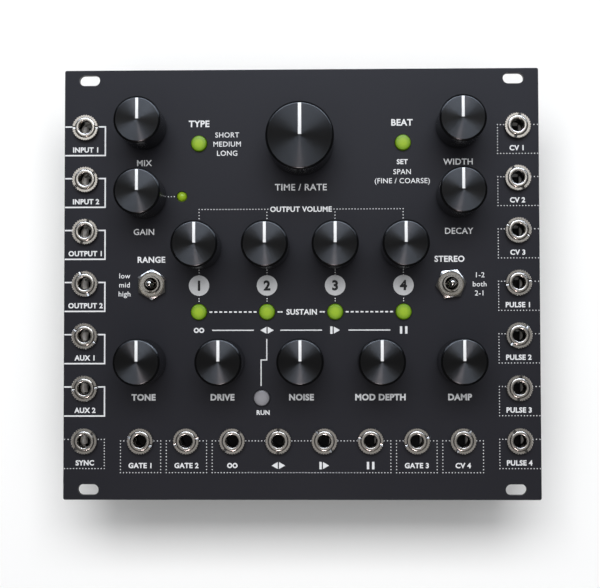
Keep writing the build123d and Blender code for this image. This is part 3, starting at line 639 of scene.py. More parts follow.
# %% Headings and lists
HEADING_WEIGHT = 2
LIST_CAPITAL = 1.5
LIST_WEIGHT = 0.5
SPREAD_CAPITAL = 1.5
SUSTAIN_CAPITAL = 1.55
SUSTAIN_X = 0.2
HEADINGS = [
    ("TYPE", "button_mode", 0.0, 6.0, 1.85),
    ("BEAT", "button_beat", -0.3, 6.1, 1.85),
    ("RANGE", "lever_left", -0.3, 7.5, 1.7),
    ("STEREO", "lever_right", -0.3, 7.5, 1.7),
    ("RUN", "button_run", 0.4, -4.3, 1.3),
    ("SET", "button_beat", -0.2, -5.7, 1.4),
]
LISTS = [
    (("SHORT", "MEDIUM", "LONG"), "button_mode", 8.4, 2.6, 2.75),
    (("SPAN", "(FINE / COARSE)"), "button_beat", -0.2, -8.7, 2.7),
    (("low", "mid", "high"), "lever_left", -8.3, 2.7, 2.7),
    (("1-2", "both", "2-1"), "lever_right", 8.6, 2.7, 2.7),
]
for text, node, across, up, capital in HEADINGS:
    place = middle(node)
    words.append(word(text, place.x + across, place.y + up, capital, HEADING_WEIGHT))
for texts, node, across, up, pitch in LISTS:
    place = middle(node)
    for i, text in enumerate(texts):
        words.append(word(text, place.x + across, place.y + up - pitch * i, LIST_CAPITAL, LIST_WEIGHT))
words.append(word("OUTPUT VOLUME", 0.0, SPREAD_Y, SPREAD_CAPITAL, HEADING_WEIGHT))
words.append(word("SUSTAIN", SUSTAIN_X, echo_buttons[0].y, SUSTAIN_CAPITAL, HEADING_WEIGHT))
legends = dressed(joined("panel_words", words), ink_finish, "module", "panel_black")
print("legends", len(legends.data.polygons), "faces")

# %% [markdown]
# Four plain signs name what the buttons and the middle sockets do: endless, both ways, step on and
# pause. A font of symbols could hold them, but they are only triangles, bars and rings, so they are built
# from those.

# %% Signs
SIGN_HEIGHT = 2.2
ARROW_RADIUS = 1.21
ARROW_GAP = 0.18
BAR_WIDTH = 0.7
BAR_PLACE = 0.77
STEP_SHIFT = 0.45
RING_RADIUS = 0.78
RING_INNER_SHARE = 0.5
RING_SIDES = 24


def arrow(x, y, side):
    """A filled triangle that points along +X or -X."""
    return raised(flat_polygon(x, y, ARROW_RADIUS, 3, -side * math.pi / 2))


def bar(x, y):
    """A short upright bar of ink."""
    reach = (SIGN_HEIGHT - BAR_WIDTH) / 2
    return solid_line((x, y - reach), (x, y + reach), BAR_WIDTH)


def ring(x, y):
    """A flat ring: a circle whose edge is extruded in place and drawn inwards."""
    centre = Vector((x, y, FRONT)) * MM
    part = fresh(bpy.ops.mesh.primitive_circle_add, vertices=RING_SIDES, radius=RING_RADIUS * MM,
                 location=centre)
    edit(part)
    extrude(0, 0, 0)
    bpy.ops.transform.resize(value=(RING_INNER_SHARE, RING_INNER_SHARE, 1), center_override=centre)
    edit(part)
    extrude(0, 0, INK)
    edit(part)
    bpy.ops.mesh.normals_make_consistent(inside=False)
    alone(part)
    return part


def sign(number, x, y):
    """One of the four signs, centred on a place."""
    back = ARROW_RADIUS / 2
    if number == 0:
        return [ring(x + side * (RING_RADIUS + HAIRLINE), y) for side in (-1, 1)]
    if number == 1:
        return [arrow(x + side * (back + ARROW_GAP), y, side) for side in (-1, 1)]
    if number == 2:
        return [bar(x - STEP_SHIFT - BAR_WIDTH, y), arrow(x - STEP_SHIFT + back, y, 1)]
    return [bar(x + side * BAR_PLACE, y) for side in (-1, 1)]


signs = []
for number, (button, jack) in enumerate(zip(echo_buttons, sign_jacks)):
    signs += sign(number, button.x, SIGN_Y)
    signs += sign(number, jack.x, jack.y - LOWER_WORD_DROP)
panel_signs = dressed(joined("panel_signs", signs), ink_finish, "module", "panel_black")
print("signs", len(panel_signs.data.polygons), "faces")

# %% [markdown]
# The echoes are numbered on grey discs of ink, with the numerals in black ink on top. The numerals could
# be cut out of the discs, but a screen printer lays one ink over the other, and so does this.

# %% Number discs
DISC_SIDES = 64
NUMERAL_CAPITAL = 2.75
NUMERAL_WEIGHT = 3
FLAT_INK = {"IOR": 1.45, "Specular IOR Level": 0.2}
discs = [raised(flat_polygon(knob.x, DISC_Y, DISC_RADIUS, DISC_SIDES)) for knob in echo_knobs]
numerals = [word(str(i + 1), knob.x, DISC_Y, NUMERAL_CAPITAL, NUMERAL_WEIGHT)
            for i, knob in enumerate(echo_knobs)]
for numeral in numerals:
    numeral.data.transform(Matrix.Translation((0, 0, INK * MM)))
disc_finish = coat("print_grey", FLAT_INK, 0.3, shade(0.41, 0.415, 0.425), shade(0.52, 0.525, 0.54),
                   *INK_ROUGHNESS)
numeral_finish = coat("print_black", FLAT_INK, 0.3, shade(0.012, 0.012, 0.013), shade(0.02, 0.02, 0.021),
                      *INK_ROUGHNESS)
dressed(joined("number_discs", discs), disc_finish, "module", "panel_black")
dressed(joined("disc_numerals", numerals), numeral_finish, "module", "panel_black")
print("discs", len(discs))

# %% [markdown]
# ## The knobs
# A knob is turned from bar on a lathe and anodised black, and its pointer is a groove milled into the top
# and filled with white paint. In Blender a ring of points plays the bar's edge: it is extruded and scaled
# from one radius and height of the outline to the next. Spin could turn a drawn outline too, but this way
# each step of the outline can be read off its numbers.

# %% Turning a piece on the lathe
def turned(name, outline, sides, smooth=30):
    """A piece about Z from its (radius, height) outline, which ends on the axis or where it began."""
    radius, height = outline[0]
    part = fresh(bpy.ops.mesh.primitive_circle_add, vertices=sides, radius=radius * MM,
                 location=(0, 0, height * MM))
    edit(part)
    for (r0, z0), (r1, z1) in zip(outline, outline[1:]):
        extrude(0, 0, z1 - z0)
        bpy.ops.transform.resize(value=(r1 / r0, r1 / r0, 1), center_override=(0, 0, z1 * MM))
    return settle(part, name, smooth)


def arc(half_width, height, start, end, steps, centre):
    """Points of a round or oval arc in an outline, between two angles in degrees."""
    angles = [math.radians(start + (end - start) * i / steps) for i in range(steps + 1)]
    across, up = centre
    return [(max(across + half_width * math.cos(a), 0.0), up + height * math.sin(a)) for a in angles]


def block(size, centre):
    """A box given by its size and centre in millimetres, as a start for other shapes or a cutter."""
    return fresh(bpy.ops.mesh.primitive_cube_add, Vector(size) * MM, size=1, location=Vector(centre) * MM)


def cut(part, cutter, operation="DIFFERENCE"):
    """Takes one shape out of another, or keeps what both share, with an applied Boolean modifier."""
    alone(part)
    change = part.modifiers.new("cut", "BOOLEAN")
    change.operation = operation
    change.object = cutter
    bpy.ops.object.modifier_apply(modifier=change.name)
    bpy.data.objects.remove(cutter)
    return part


def copied(part, name, place, turn=0.0):
    """A copy with its own mesh, turned about Z and moved across the panel."""
    copy = part.copy()
    copy.data = part.data.copy()
    copy.name = name
    copy.data.name = name
    bpy.context.collection.objects.link(copy)
    move = Matrix.Translation(Vector((place[0], place[1], 0)) * MM)
    copy.data.transform(move @ Matrix.Rotation(turn, 4, "Z"))
    return copy


def repeated(name, pattern, spots):
    """Copies of a pattern as one object, each at its (place, turn); the pattern itself is deleted."""
    copies = [copied(pattern, pattern.name, place, turn) for place, turn in spots]
    bpy.data.objects.remove(pattern)
    return joined(name, copies)


def turning_map(part):
    """A UV map in millimetres from the piece's axis, for finishes that follow the lathe's rings."""
    layer = part.data.uv_layers.new(name="turning")
    for loop in part.data.loops:
        point = part.data.vertices[loop.vertex_index].co
        layer.data[loop.index].uv = (point.x / MM, point.y / MM)


print("lathe ready")

# %% [markdown]
# The lathe's tool leaves fine grooves round the axis, far too fine to model. Across them the surface is
# rough and along them it is smooth, so light is drawn out into two bright fans. The shader's Anisotropic
# socket does the same. The grooves' own colour and roughness vary a little from ring to ring, by their
# distance from the axis in the piece's UV map, so that some of them can be made out.

# %% Knob finishes
TOOL_MARKS_PER_MM = 6.0


def turned_black(name, shine):
    """Black anodised metal with the rings of the lathe's tool."""
    finish = Finish(name, {"IOR": 1.5, "Specular IOR Level": shine, "Anisotropic": 1.0,
                           "Anisotropic Rotation": 0.25})
    across = finish.node("UVMap", {"uv_map": "turning"}, {})
    radius = finish.node("VectorMath", {"operation": "LENGTH"}, {0: across}, "Value")
    ring_number = finish.node("Math", {"operation": "FLOOR"}, {0: radius * TOOL_MARKS_PER_MM})
    marks = finish.node("TexWhiteNoise", {"noise_dimensions": "1D"}, {"W": ring_number}, "Value")
    finish.feed(Base_Color=finish.blend(marks, shade(0.0008, 0.0008, 0.001), shade(0.0016, 0.0016, 0.002)),
                Roughness=0.39 + 0.1 * marks)
    return finish


small_top_finish = turned_black("small_knob_top", 0.62)
large_top_finish = turned_black("large_knob_top", 0.42)
knob_side_finish = coat("knob_side", {"IOR": 1.5, "Specular IOR Level": 0.45}, 0.2,
                        shade(0.0004, 0.0004, 0.0005), shade(0.0009, 0.0009, 0.0011), 0.15, 0.06)
print("tool marks", TOOL_MARKS_PER_MM, "to the millimetre")

# %% [markdown]
# Two knobs are modelled, a small one and the large one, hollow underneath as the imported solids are.
# The rest are copies. The edge of the top is broken and left smooth, and its inner lip leans just enough
# to catch the light from beyond the panel. The pointer's paint is a bar that lies in its groove.

# %% Knobs
KNOB_SIDES = 128
KNOB_EDGE = 0.4
KNOB_FOOT_BEVEL = 0.25
LIP_RIM = 0.45
LIP_WIDTH = 0.18
LIP_DROP = 0.065
LINE_MARGIN = 0.5
KNOB_TOP_WALL = 2.4
HUB_RADIUS = 4.2
HUB_BORE = 3.06
HUB_GAP = 3.0
GROOVE_DEPTH = 0.25
PAINT_FIT = 0.02
PAINT_EDGE = 0.05
OVERRUN = 1.0
FACING_UP = 0.999
knob_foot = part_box("knob_mix")[0][2] / MM
knob_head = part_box("knob_mix")[1][2] / MM


def knob_shape(name, radius, wall, top_finish, line_width, line_start):
    """A hollow knob with its pointer groove."""
    ceiling = knob_head - KNOB_TOP_WALL
    part = turned(name, [
        (HUB_BORE, ceiling), (HUB_BORE, knob_foot + HUB_GAP), (HUB_RADIUS, knob_foot + HUB_GAP),
        (HUB_RADIUS, ceiling), (radius - wall, ceiling), (radius - wall, knob_foot),
        (radius - KNOB_FOOT_BEVEL, knob_foot), (radius, knob_foot + KNOB_FOOT_BEVEL),
        (radius, knob_head - KNOB_EDGE), (radius - LIP_RIM, knob_head - LIP_DROP),
        (radius - LIP_RIM - LIP_WIDTH, knob_head), (0, knob_head),
    ], KNOB_SIDES)
    length = radius - LINE_MARGIN - line_start
    cut(part, block((line_width, length, GROOVE_DEPTH + OVERRUN),
                    (0, line_start + length / 2, knob_head + (OVERRUN - GROOVE_DEPTH) / 2)))
    turning_map(part)
    part.data.materials.append(knob_side_finish.material)
    part.data.materials.append(top_finish.material)
    groove_middle = (knob_head - GROOVE_DEPTH / 2) * MM
    for face in part.data.polygons:
        face.material_index = int(face.normal.z > FACING_UP and face.center.z > groove_middle)
    return part


def pointer_shape(name, radius, line_width, line_start):
    """The paint in the groove: a bar with rounded edges, a hair below the top."""
    end = radius - LINE_MARGIN - PAINT_FIT
    size = (line_width - PAINT_FIT, end - line_start - PAINT_FIT, GROOVE_DEPTH - 2 * PAINT_FIT)
    part = block(size, (0, (line_start + end + PAINT_FIT) / 2, knob_head - GROOVE_DEPTH / 2))
    return settle(bevelled(part, PAINT_EDGE), name)


SMALL_LINE = (0.88, 0.25)
LARGE_LINE = (1.0, 0.25)
SMALL_WALL = 1.1
LARGE_WALL = 1.6
small_radius, large_radius = radius_of("knob_mix"), radius_of("knob_time")
small_knob = knob_shape("small_knob", small_radius, SMALL_WALL, small_top_finish, *SMALL_LINE)
large_knob = knob_shape("large_knob", large_radius, LARGE_WALL, large_top_finish, *LARGE_LINE)
small_pointer = pointer_shape("small_pointer", small_radius, *SMALL_LINE)
large_pointer = pointer_shape("large_pointer", large_radius, *LARGE_LINE)
pointer_finish = coat("pointer_white", {"IOR": 1.5}, 0.5, shade(0.62, 0.63, 0.65), shade(0.74, 0.75, 0.76),
                      0.35, 0.15)
knob_names = [name.removeprefix("knob_") for name in sorted(frame["nodes"]) if name.startswith("knob_")]
for name in knob_names:
    large = name == "time"
    place = middle(f"shaft_{name}")
    knob = copied(large_knob if large else small_knob, f"{name}_knob", place)
    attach(knob, f"{name}_control")
    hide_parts(f"knob_{name}")
    pointer = copied(large_pointer if large else small_pointer, f"{name}_pointer", place)
    dressed(pointer, pointer_finish, f"{name}_control", "knob_black")
for pattern in (small_knob, large_knob, small_pointer, large_pointer):
    bpy.data.objects.remove(pattern)
print("knobs", len(knob_names), "of radius", round(small_radius, 2), "and", round(large_radius, 2), "mm")

# %% [markdown]
# ## The sockets
# Each socket shows a threaded sleeve and a round nut, both nickel plated. Nickel is a mirror with a warm grey
# tint. On real plating the brightness is a little cloudy and fine scratches dull it, so one noise varies
# the colour and a finer one the roughness. Metal without them looks too clean to be real.

# %% Nickel
def plated(name, dark, light, roughness, spread=0.2, cloud_size=2.5, scratch_size=0.15, depth=0.003):
    """Plated or drawn metal with cloudy brightness and fine scratches."""
    finish = Finish(name, {"Metallic": 1.0})
    cloud = finish.noise(cloud_size, 4.0)
    scratch = finish.noise(scratch_size, 2.0)
    finish.feed(Base_Color=finish.blend(cloud, dark, light), Roughness=roughness + spread * scratch,
                Normal=finish.bump(scratch, depth))
    return finish


nickel_finish = plated("nickel", shade(0.50, 0.472, 0.432), shade(0.64, 0.612, 0.57), 0.12, spread=0.14,
                       cloud_size=1.4, scratch_size=0.12, depth=0.0015)
print("nickel ready")

# %% [markdown]
# The nut has a knurled edge to grip and a slot for a driver, and each nut stopped at its own angle when it
# was tightened. One nut is turned and copied to the 22 places. The knurl is every third point of the
# rim, drawn inwards: a bump in the finish would show no teeth against the panel. The slot is cut by a bar
# with a diamond section, because its sloping sides catch the light where a flat floor would not.

# %% Socket nuts
NUT_TEETH = 32
NUT_KNURL = 0.22
NUT_RADIUS = 3.9
NUT_BORE = 3.02
NUT_FLAT = (3.08, 3.78)
NUT_EDGE = 0.12
NUT_SLOT = (0.9, 0.3)
NUT_TURN = math.radians(37.0)
nut_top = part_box("jack_nuts")[1][2] / MM


def pick_points(test):
    """In edit mode, selects only the points that pass a test."""
    mesh = bpy.context.edit_object.data
    bpy.ops.mesh.select_mode(type="VERT")
    bpy.ops.mesh.select_all(action="DESELECT")
    shape = bmesh.from_edit_mesh(mesh)
    for point in shape.verts:
        point.select_set(test(point.co))
    bmesh.update_edit_mesh(mesh)


def slot_cutter(width, depth):
    """A long bar with a diamond section, half of it below the nut's top."""
    cutter = block((4 * NUT_RADIUS, 1, 1), (0, 0, 0))
    half_diagonal = math.sqrt(0.5)
    stretch = (1, width / 2 / half_diagonal, depth / half_diagonal)
    edit(cutter)
    bpy.ops.transform.rotate(value=math.pi / 4, orient_axis="X", center_override=(0, 0, 0))
    bpy.ops.transform.resize(value=stretch, center_override=(0, 0, 0))
    bpy.ops.transform.translate(value=(0, 0, nut_top * MM))
    alone(cutter)
    return cutter


def socket_nut():
    """Knurled round nut with a driver's slot."""
    inner, outer = NUT_FLAT
    part = turned("socket_nut", [
        (NUT_BORE, FRONT), (NUT_RADIUS - NUT_EDGE, FRONT), (NUT_RADIUS, FRONT + NUT_EDGE),
        (NUT_RADIUS, nut_top - NUT_EDGE), (outer, nut_top), (inner, nut_top), (NUT_BORE, nut_top - NUT_EDGE),
        (NUT_BORE, FRONT),
    ], 3 * NUT_TEETH)
    step = 2 * math.pi / NUT_TEETH
    edit(part)
    pick_points(lambda at: Vector((at.x, at.y)).length > (inner + outer) / 2 * MM
                and abs(math.remainder(math.atan2(at.y, at.x) - math.pi / 2, step)) < step / 6)
    shrink = 1 - NUT_KNURL / NUT_RADIUS
    bpy.ops.transform.resize(value=(shrink, shrink, 1), center_override=(0, 0, 0))
    alone(part)
    cut(part, slot_cutter(*NUT_SLOT))
    return settle(part, "socket_nut", angle=15)


sockets = left_jacks + right_jacks + lower_jacks
nuts = repeated("socket_nuts", socket_nut(), [(jack, NUT_TURN * i) for i, jack in enumerate(sockets)])
dressed(nuts, nickel_finish, "module", "nickel", "jack_nuts")
print("socket nuts", len(sockets))

# %% [markdown]
# The sleeve ends in a rounded lip with a countersunk mouth, and the last turns of its thread show
# between the lip and the nut. Inside, the bore is open down to the spring contact. It is turned as the
# knobs are. The thread is a row of rings, because a true helix would cost many faces and look the same.

# %% Socket sleeves
SLEEVE_RADIUS = 3.0
SLEEVE_BORE = 1.8
LIP_EDGES = (2.02, 2.8)
LIP_CROWN = 0.055
MOUTH_DEPTH = 0.5
LIP_STEPS = 16
THREAD_TOP = 3.3
SLEEVE_SIDES = 64
THREAD_DEPTH = 0.12
THREAD_PITCH = 0.5
sleeve_low, sleeve_top = (corner[2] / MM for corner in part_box("jack_sleeves"))


def thread(radius, low, high, pitch, depth):
    """The outline of a thread's turns from one height to another, crest and root in turn."""
    turns = max(1, round((high - low) / pitch))
    step = (high - low) / turns
    points = [(radius, low)]
    for i in range(turns):
        points += [(radius - depth, low + step * (i + 0.5)), (radius, low + step * (i + 1))]
    return points


def socket_sleeve():
    """Threaded sleeve with a rounded lip and a countersunk mouth."""
    inner, outer = LIP_EDGES
    half_width = (outer - inner) / 2
    outline = [(SLEEVE_BORE, sleeve_low), (SLEEVE_RADIUS, sleeve_low)]
    outline += thread(SLEEVE_RADIUS, FRONT, THREAD_TOP, THREAD_PITCH, THREAD_DEPTH)
    outline += arc(half_width, LIP_CROWN, 0, 180, LIP_STEPS, (inner + half_width, sleeve_top - LIP_CROWN))
    outline += [(SLEEVE_BORE, sleeve_top - MOUTH_DEPTH), (SLEEVE_BORE, sleeve_low)]
    return turned("socket_sleeve", outline, SLEEVE_SIDES)


sleeves = repeated("socket_sleeves", socket_sleeve(), [(jack, 0.0) for jack in sockets])
dressed(sleeves, nickel_finish, "module", "nickel", "jack_sleeves")
print("sleeves", len(sockets), "to", round(sleeve_top, 2), "mm")

# %% [markdown]
# Down in each bore a leaf of spring metal waits for the plug's tip. It leans in from the wall on the side
# where the socket's pins are: outwards on both columns, to the right on the lower row. On the right
# column and the lower row it stands a little further out. The leaf is bent from strip, so it starts as
# one edge as long as the strip is wide, which is extruded from bend to bend and thickened.

# %% Socket contacts
LEAF_WIDTH = 2.6
LEAF_THICKNESS = 0.2
LEAF_SHIFT = 1.0
LEAF_PLACES = [(2.3, -3.2), (1.5, -3.25), (0.8, -3.5), (0.4, -4.1), (0.3, -5.0), (0.7, -6.6), (1.9, -7.9)]


def socket_leaf():
    """A bent leaf that leans in towards the bore from the +X side."""
    across, up = LEAF_PLACES[0]
    part = fresh(bpy.ops.mesh.primitive_plane_add, size=1)
    edit(part)
    bpy.ops.mesh.delete(type="ONLY_FACE")
    pick_points(lambda at: at.x < 0)
    bpy.ops.mesh.delete(type="VERT")
    bpy.ops.mesh.select_all(action="SELECT")
    bpy.ops.transform.resize(value=(0, LEAF_WIDTH * MM, 1), center_override=(0, 0, 0))
    bpy.ops.transform.translate(value=(across * MM, 0, up * MM))
    for (x0, z0), (x1, z1) in zip(LEAF_PLACES, LEAF_PLACES[1:]):
        extrude(x1 - x0, 0, z1 - z0)
    alone(part)
    wall = part.modifiers.new("wall", "SOLIDIFY")
    wall.thickness = LEAF_THICKNESS * MM
    bpy.ops.object.modifier_apply(modifier=wall.name)
    return settle(part, "leaf", angle=60)


def spring_metal():
    """Pale spring strip, tarnished in clouds."""
    finish = Finish("spring_metal", {})
    cloud = finish.noise(0.8, 3.0)
    finish.feed(Base_Color=finish.blend(cloud, shade(0.78, 0.76, 0.73), shade(0.90, 0.88, 0.85)),
                Metallic=0.15 + 0.2 * cloud, Roughness=0.35 + 0.2 * cloud)
    return finish


leaf_spots = [(jack, math.pi) for jack in left_jacks]
leaf_spots += [((jack.x + LEAF_SHIFT, jack.y), 0.0) for jack in right_jacks + lower_jacks]
spring_finish = spring_metal()
dressed(repeated("socket_contacts", socket_leaf(), leaf_spots), spring_finish, "module", "nickel")
print("contacts", len(leaf_spots))

# %% [markdown]
# ## The toggle switches
# Two bat-lever toggles are held by chromed hexagon nuts. Chrome is made as nickel is, only a shade darker.
# The nuts have met a spanner, so theirs is duller than the levers'.

# %% Chrome
CHROME_SHADES = (shade(0.42, 0.40, 0.365), shade(0.56, 0.54, 0.50))
CHROME_WEAR = {"spread": 0.1, "cloud_size": 1.2, "depth": 0.002}
chrome_finish = plated("chrome", *CHROME_SHADES, 0.07, **CHROME_WEAR)
nut_finish = plated("chrome_nut", *CHROME_SHADES, 0.15, **CHROME_WEAR)
print("chrome ready")

# %% [markdown]
# The nut starts as a six-sided cylinder. What it shares with a chamfered disc is kept, which gives the curved
# corners of a real nut better than any bevel, and a ring groove in the disc stays on the nut's face. A
# bore with a broken edge is cut out. The bushing is turned with its thread and its mouth, and loses
# a keyway and the hole for the lever's pin.

# %% Toggle nuts and bushings
TOGGLE_NUT_FLATS = 8.0
CHAMFER_SHARE = 0.94
CHAMFER_ANGLE = math.radians(25.0)
CHAMFER_SIDES = 96
FACE_GROOVE = 0.2
BORE_EDGE = 0.12
BORE_SIDES = 64
NUT_FIT = 0.05
TOGGLE_NUT_TURN = math.radians(37.0)
TOGGLE_BUSHING = 2.45
TOGGLE_MOUTH = 1.9
MOUTH_EDGE = 0.08
TOGGLE_THROAT = 1.5
TOGGLE_PIVOT = 2.0
TOGGLE_THREAD = (0.42, 0.13)
TOGGLE_KEYWAY = (0.9, 0.4)
PIN_HOLE = 0.46
PIN_REACH = 2.05
PIN_SIDES = 24
toggle_places = [middle(f"lever_{side}") for side in ("left", "right")]
toggle_nut_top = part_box("toggle_nuts")[1][2] / MM
toggle_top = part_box("toggle_bushings")[1][2] / MM


def hexagon_nut(name, flats, low, high, bore):
    """A hexagon nut with rounded corners, a ring groove in its face and a countersunk bore."""
    corner = flats / 2 / math.cos(math.pi / 6)
    part = fresh(bpy.ops.mesh.primitive_cylinder_add, vertices=6, radius=corner * MM,
                 depth=(high - low) * MM, location=(0, 0, (low + high) / 2 * MM))
    face = flats / 2 * CHAMFER_SHARE
    reach = corner + OVERRUN
    drop = (reach - face) * math.tan(CHAMFER_ANGLE)
    cut(part, turned("chamfer", [(reach, low - OVERRUN), (reach, high - drop), (face, high),
                                 (face - FACE_GROOVE, high - FACE_GROOVE), (face - 2 * FACE_GROOVE, high),
                                 (0, high)], CHAMFER_SIDES), "INTERSECT")
    rim = bore + BORE_EDGE
    cut(part, turned("bore", [(bore, low - OVERRUN), (bore, high - BORE_EDGE), (rim, high),
                              (rim, high + OVERRUN), (0, high + OVERRUN)], BORE_SIDES))
    return settle(part, name, angle=20)


def cross_pin(radius, reach):
    """A pin along X through the lever's pivot, or the cutter for its hole."""
    pin = turned("pin", [(radius, -reach), (radius, reach), (0, reach)], PIN_SIDES)
    lift = Matrix.Translation((0, 0, TOGGLE_PIVOT * MM))
    pin.data.transform(lift @ Matrix.Rotation(math.pi / 2, 4, "Y"))
    return pin


def toggle_bushing():
    """Threaded bushing with a mouth that narrows to its throat and a keyway towards the panel's foot."""
    outline = [(TOGGLE_THROAT, 0.0), (TOGGLE_BUSHING, 0.0)]
    outline += thread(TOGGLE_BUSHING, FRONT, toggle_top - 2 * MOUTH_EDGE, *TOGGLE_THREAD)
    outline += [(TOGGLE_BUSHING, toggle_top - MOUTH_EDGE), (TOGGLE_BUSHING - MOUTH_EDGE, toggle_top),
                (TOGGLE_MOUTH + MOUTH_EDGE, toggle_top), (TOGGLE_MOUTH, toggle_top - MOUTH_EDGE),
                (TOGGLE_THROAT, TOGGLE_PIVOT), (TOGGLE_THROAT, 0.0)]
    part = turned("toggle_bushing", outline, BORE_SIDES)
    width, depth = TOGGLE_KEYWAY
    keyway = block((width, 2 * depth, 2 * toggle_top), (0, -TOGGLE_BUSHING, FRONT + toggle_top))
    return settle(cut(cut(part, keyway), cross_pin(PIN_HOLE, PIN_REACH)), "toggle_bushing")


nut = hexagon_nut("toggle_nut", TOGGLE_NUT_FLATS, FRONT, toggle_nut_top, TOGGLE_BUSHING + NUT_FIT)
bushing = toggle_bushing()
nut_spots = [(place, TOGGLE_NUT_TURN * i) for i, place in enumerate(toggle_places)]
nuts = repeated("toggle_nuts_chrome", nut, nut_spots)
bushings = repeated("toggle_bushings_chrome", bushing, [(place, 0.0) for place in toggle_places])
dressed(nuts, nut_finish, "module", "chrome", "toggle_nuts")
dressed(bushings, nut_finish, "module", "chrome", "toggle_bushings")
print("toggle nuts and bushings", len(toggle_places))

# %% [markdown]
# The lever is turned too, from the tail inside the switch over the ball to the round end of the bat. It tilts
# about the pin through its ball, so ball and pin are made, although little of them is seen: they show
# when the lever leans over.

# %% Toggle levers
LEVER_BALL = 1.4
LEVER_NECK = 0.8
LEVER_TIP = 1.25
LEVER_TAIL = 0.6
LEVER_PIN = 0.4
LEVER_SIDES = 48
BALL_STEPS = 12
TIP_STEPS = 10
lever_low, lever_top = (corner[2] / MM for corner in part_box("lever_left"))


def toggle_lever():
    """Bat lever with its ball, cross pin and tail."""
    tip = lever_top - LEVER_TIP
    tail_turn = -math.degrees(math.acos(LEVER_TAIL / LEVER_BALL))
    neck_turn = math.degrees(math.acos(LEVER_NECK / LEVER_BALL))
    ball = arc(LEVER_BALL, LEVER_BALL, tail_turn, neck_turn, BALL_STEPS, (0.0, TOGGLE_PIVOT))
    bat = arc(LEVER_TIP, LEVER_TIP, 0, 90, TIP_STEPS, (0.0, tip))
    lever = turned("lever", [(LEVER_TAIL, lever_low)] + ball + bat, LEVER_SIDES)
    return joined("lever", [lever, cross_pin(LEVER_PIN, radius_of("lever_left"))])


lever = toggle_lever()
for side, place in zip(("left", "right"), toggle_places):
    dressed(copied(lever, f"{side}_lever", place), chrome_finish, f"{side}_toggle", "chrome", f"lever_{side}")
bpy.data.objects.remove(lever)
print("levers to", round(lever_top, 1), "mm")

# %% [markdown]
# ## Buttons and lamp
# The push buttons are soft translucent caps over small green lamps, one of them unlit. A lamp under each cap
# and light that scatters through the plastic would take long to render, so the finish does it: the colour
# changes from the middle to the rim, by the distance from the axis in the UV map, with a weak glow.

# %% Button finishes
GLOW_RADIUS = 0.6


def lit_cap(name, core, rim, glow):
    """Translucent cap: painted light, lighter in the middle than at the rim, and a weak glow."""
    finish = Finish(name, {"IOR": 1.46, "Emission Strength": glow, "Specular IOR Level": 0.25})
    across = finish.node("UVMap", {"uv_map": "turning"}, {})
    radius = finish.node("VectorMath", {"operation": "LENGTH"}, {0: across}, "Value")
    fade = finish.node("MapRange", {"interpolation_type": "SMOOTHSTEP"},
                       {"Value": radius, "From Min": GLOW_RADIUS, "From Max": CAP_RADIUS})
    speck = finish.noise(0.3, 3.0)
    colour = finish.blend(fade, core, rim)
    finish.feed(Base_Color=colour, Emission_Color=colour, Roughness=0.34 + 0.14 * speck,
                Normal=finish.bump(speck, 0.008))
    return finish


green_finish = lit_cap("button_green", shade(0.215, 0.34, 0.0105), shade(0.10, 0.20, 0.0033), 0.10)
# The unlit cap has no lamp, yet it is painted lighter in the middle and darker at the rim: painted shade.
grey_finish = lit_cap("button_grey", shade(0.225, 0.222, 0.24), shade(0.175, 0.172, 0.187), 0.0)
print("button finishes ready")

# %% [markdown]
# A cap is turned with a rounded edge and a faintly domed top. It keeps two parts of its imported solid, the
# flange that holds it behind the panel and the stem that reaches its switch. One cap is copied to the
# seven places.

# %% Buttons
CAP_EDGE = 0.55
CAP_EDGE_TURN = 78
CAP_EDGE_STEPS = 6
CAP_DOME = 0.12
DOME_SHARES = (0.9, 0.7, 0.45, 0.2)
CAP_SIDES = 64
FLANGE_RADIUS = 2.95
FLANGE_TOP = -0.1
FLANGE_THICKNESS = 0.8
STEM_RADIUS = 1.2
cap_low, cap_top = (corner[2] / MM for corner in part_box("button_mode"))


def button_cap():
    """Cap with a rounded edge, its flange behind the panel and its stem."""
    shoulder = cap_top - CAP_DOME - CAP_EDGE
    flat = CAP_RADIUS - CAP_EDGE
    edge = arc(CAP_EDGE, CAP_EDGE, 0, CAP_EDGE_TURN, CAP_EDGE_STEPS, (flat, shoulder))
    dome = [(flat * share, cap_top - CAP_DOME * share * share) for share in DOME_SHARES]
    return turned("cap", [
        (STEM_RADIUS, cap_low), (STEM_RADIUS, FLANGE_TOP - FLANGE_THICKNESS),
        (FLANGE_RADIUS, FLANGE_TOP - FLANGE_THICKNESS), (FLANGE_RADIUS, FLANGE_TOP), (CAP_RADIUS, FLANGE_TOP),
    ] + edge + dome + [(0, cap_top)], CAP_SIDES, smooth=40)


cap = button_cap()
turning_map(cap)
button_names = [name.removeprefix("button_") for name in sorted(frame["nodes"])
                if name.startswith("button_") and name != "button_switches"]
for name in button_names:
    lit = name != "run"
    part = copied(cap, f"{name}_cap", middle(f"button_{name}"))
    dressed(part, green_finish if lit else grey_finish, f"{name}_button",
            "button_green" if lit else "button_grey", f"button_{name}")
bpy.data.objects.remove(cap)
print("buttons", len(button_names))

# %% [markdown]
# The lamp beside the second knob is a round-topped light diode on two plated leads. Its lens is turned and
# has the lit caps' finish. The leads are boxes with their edges broken.

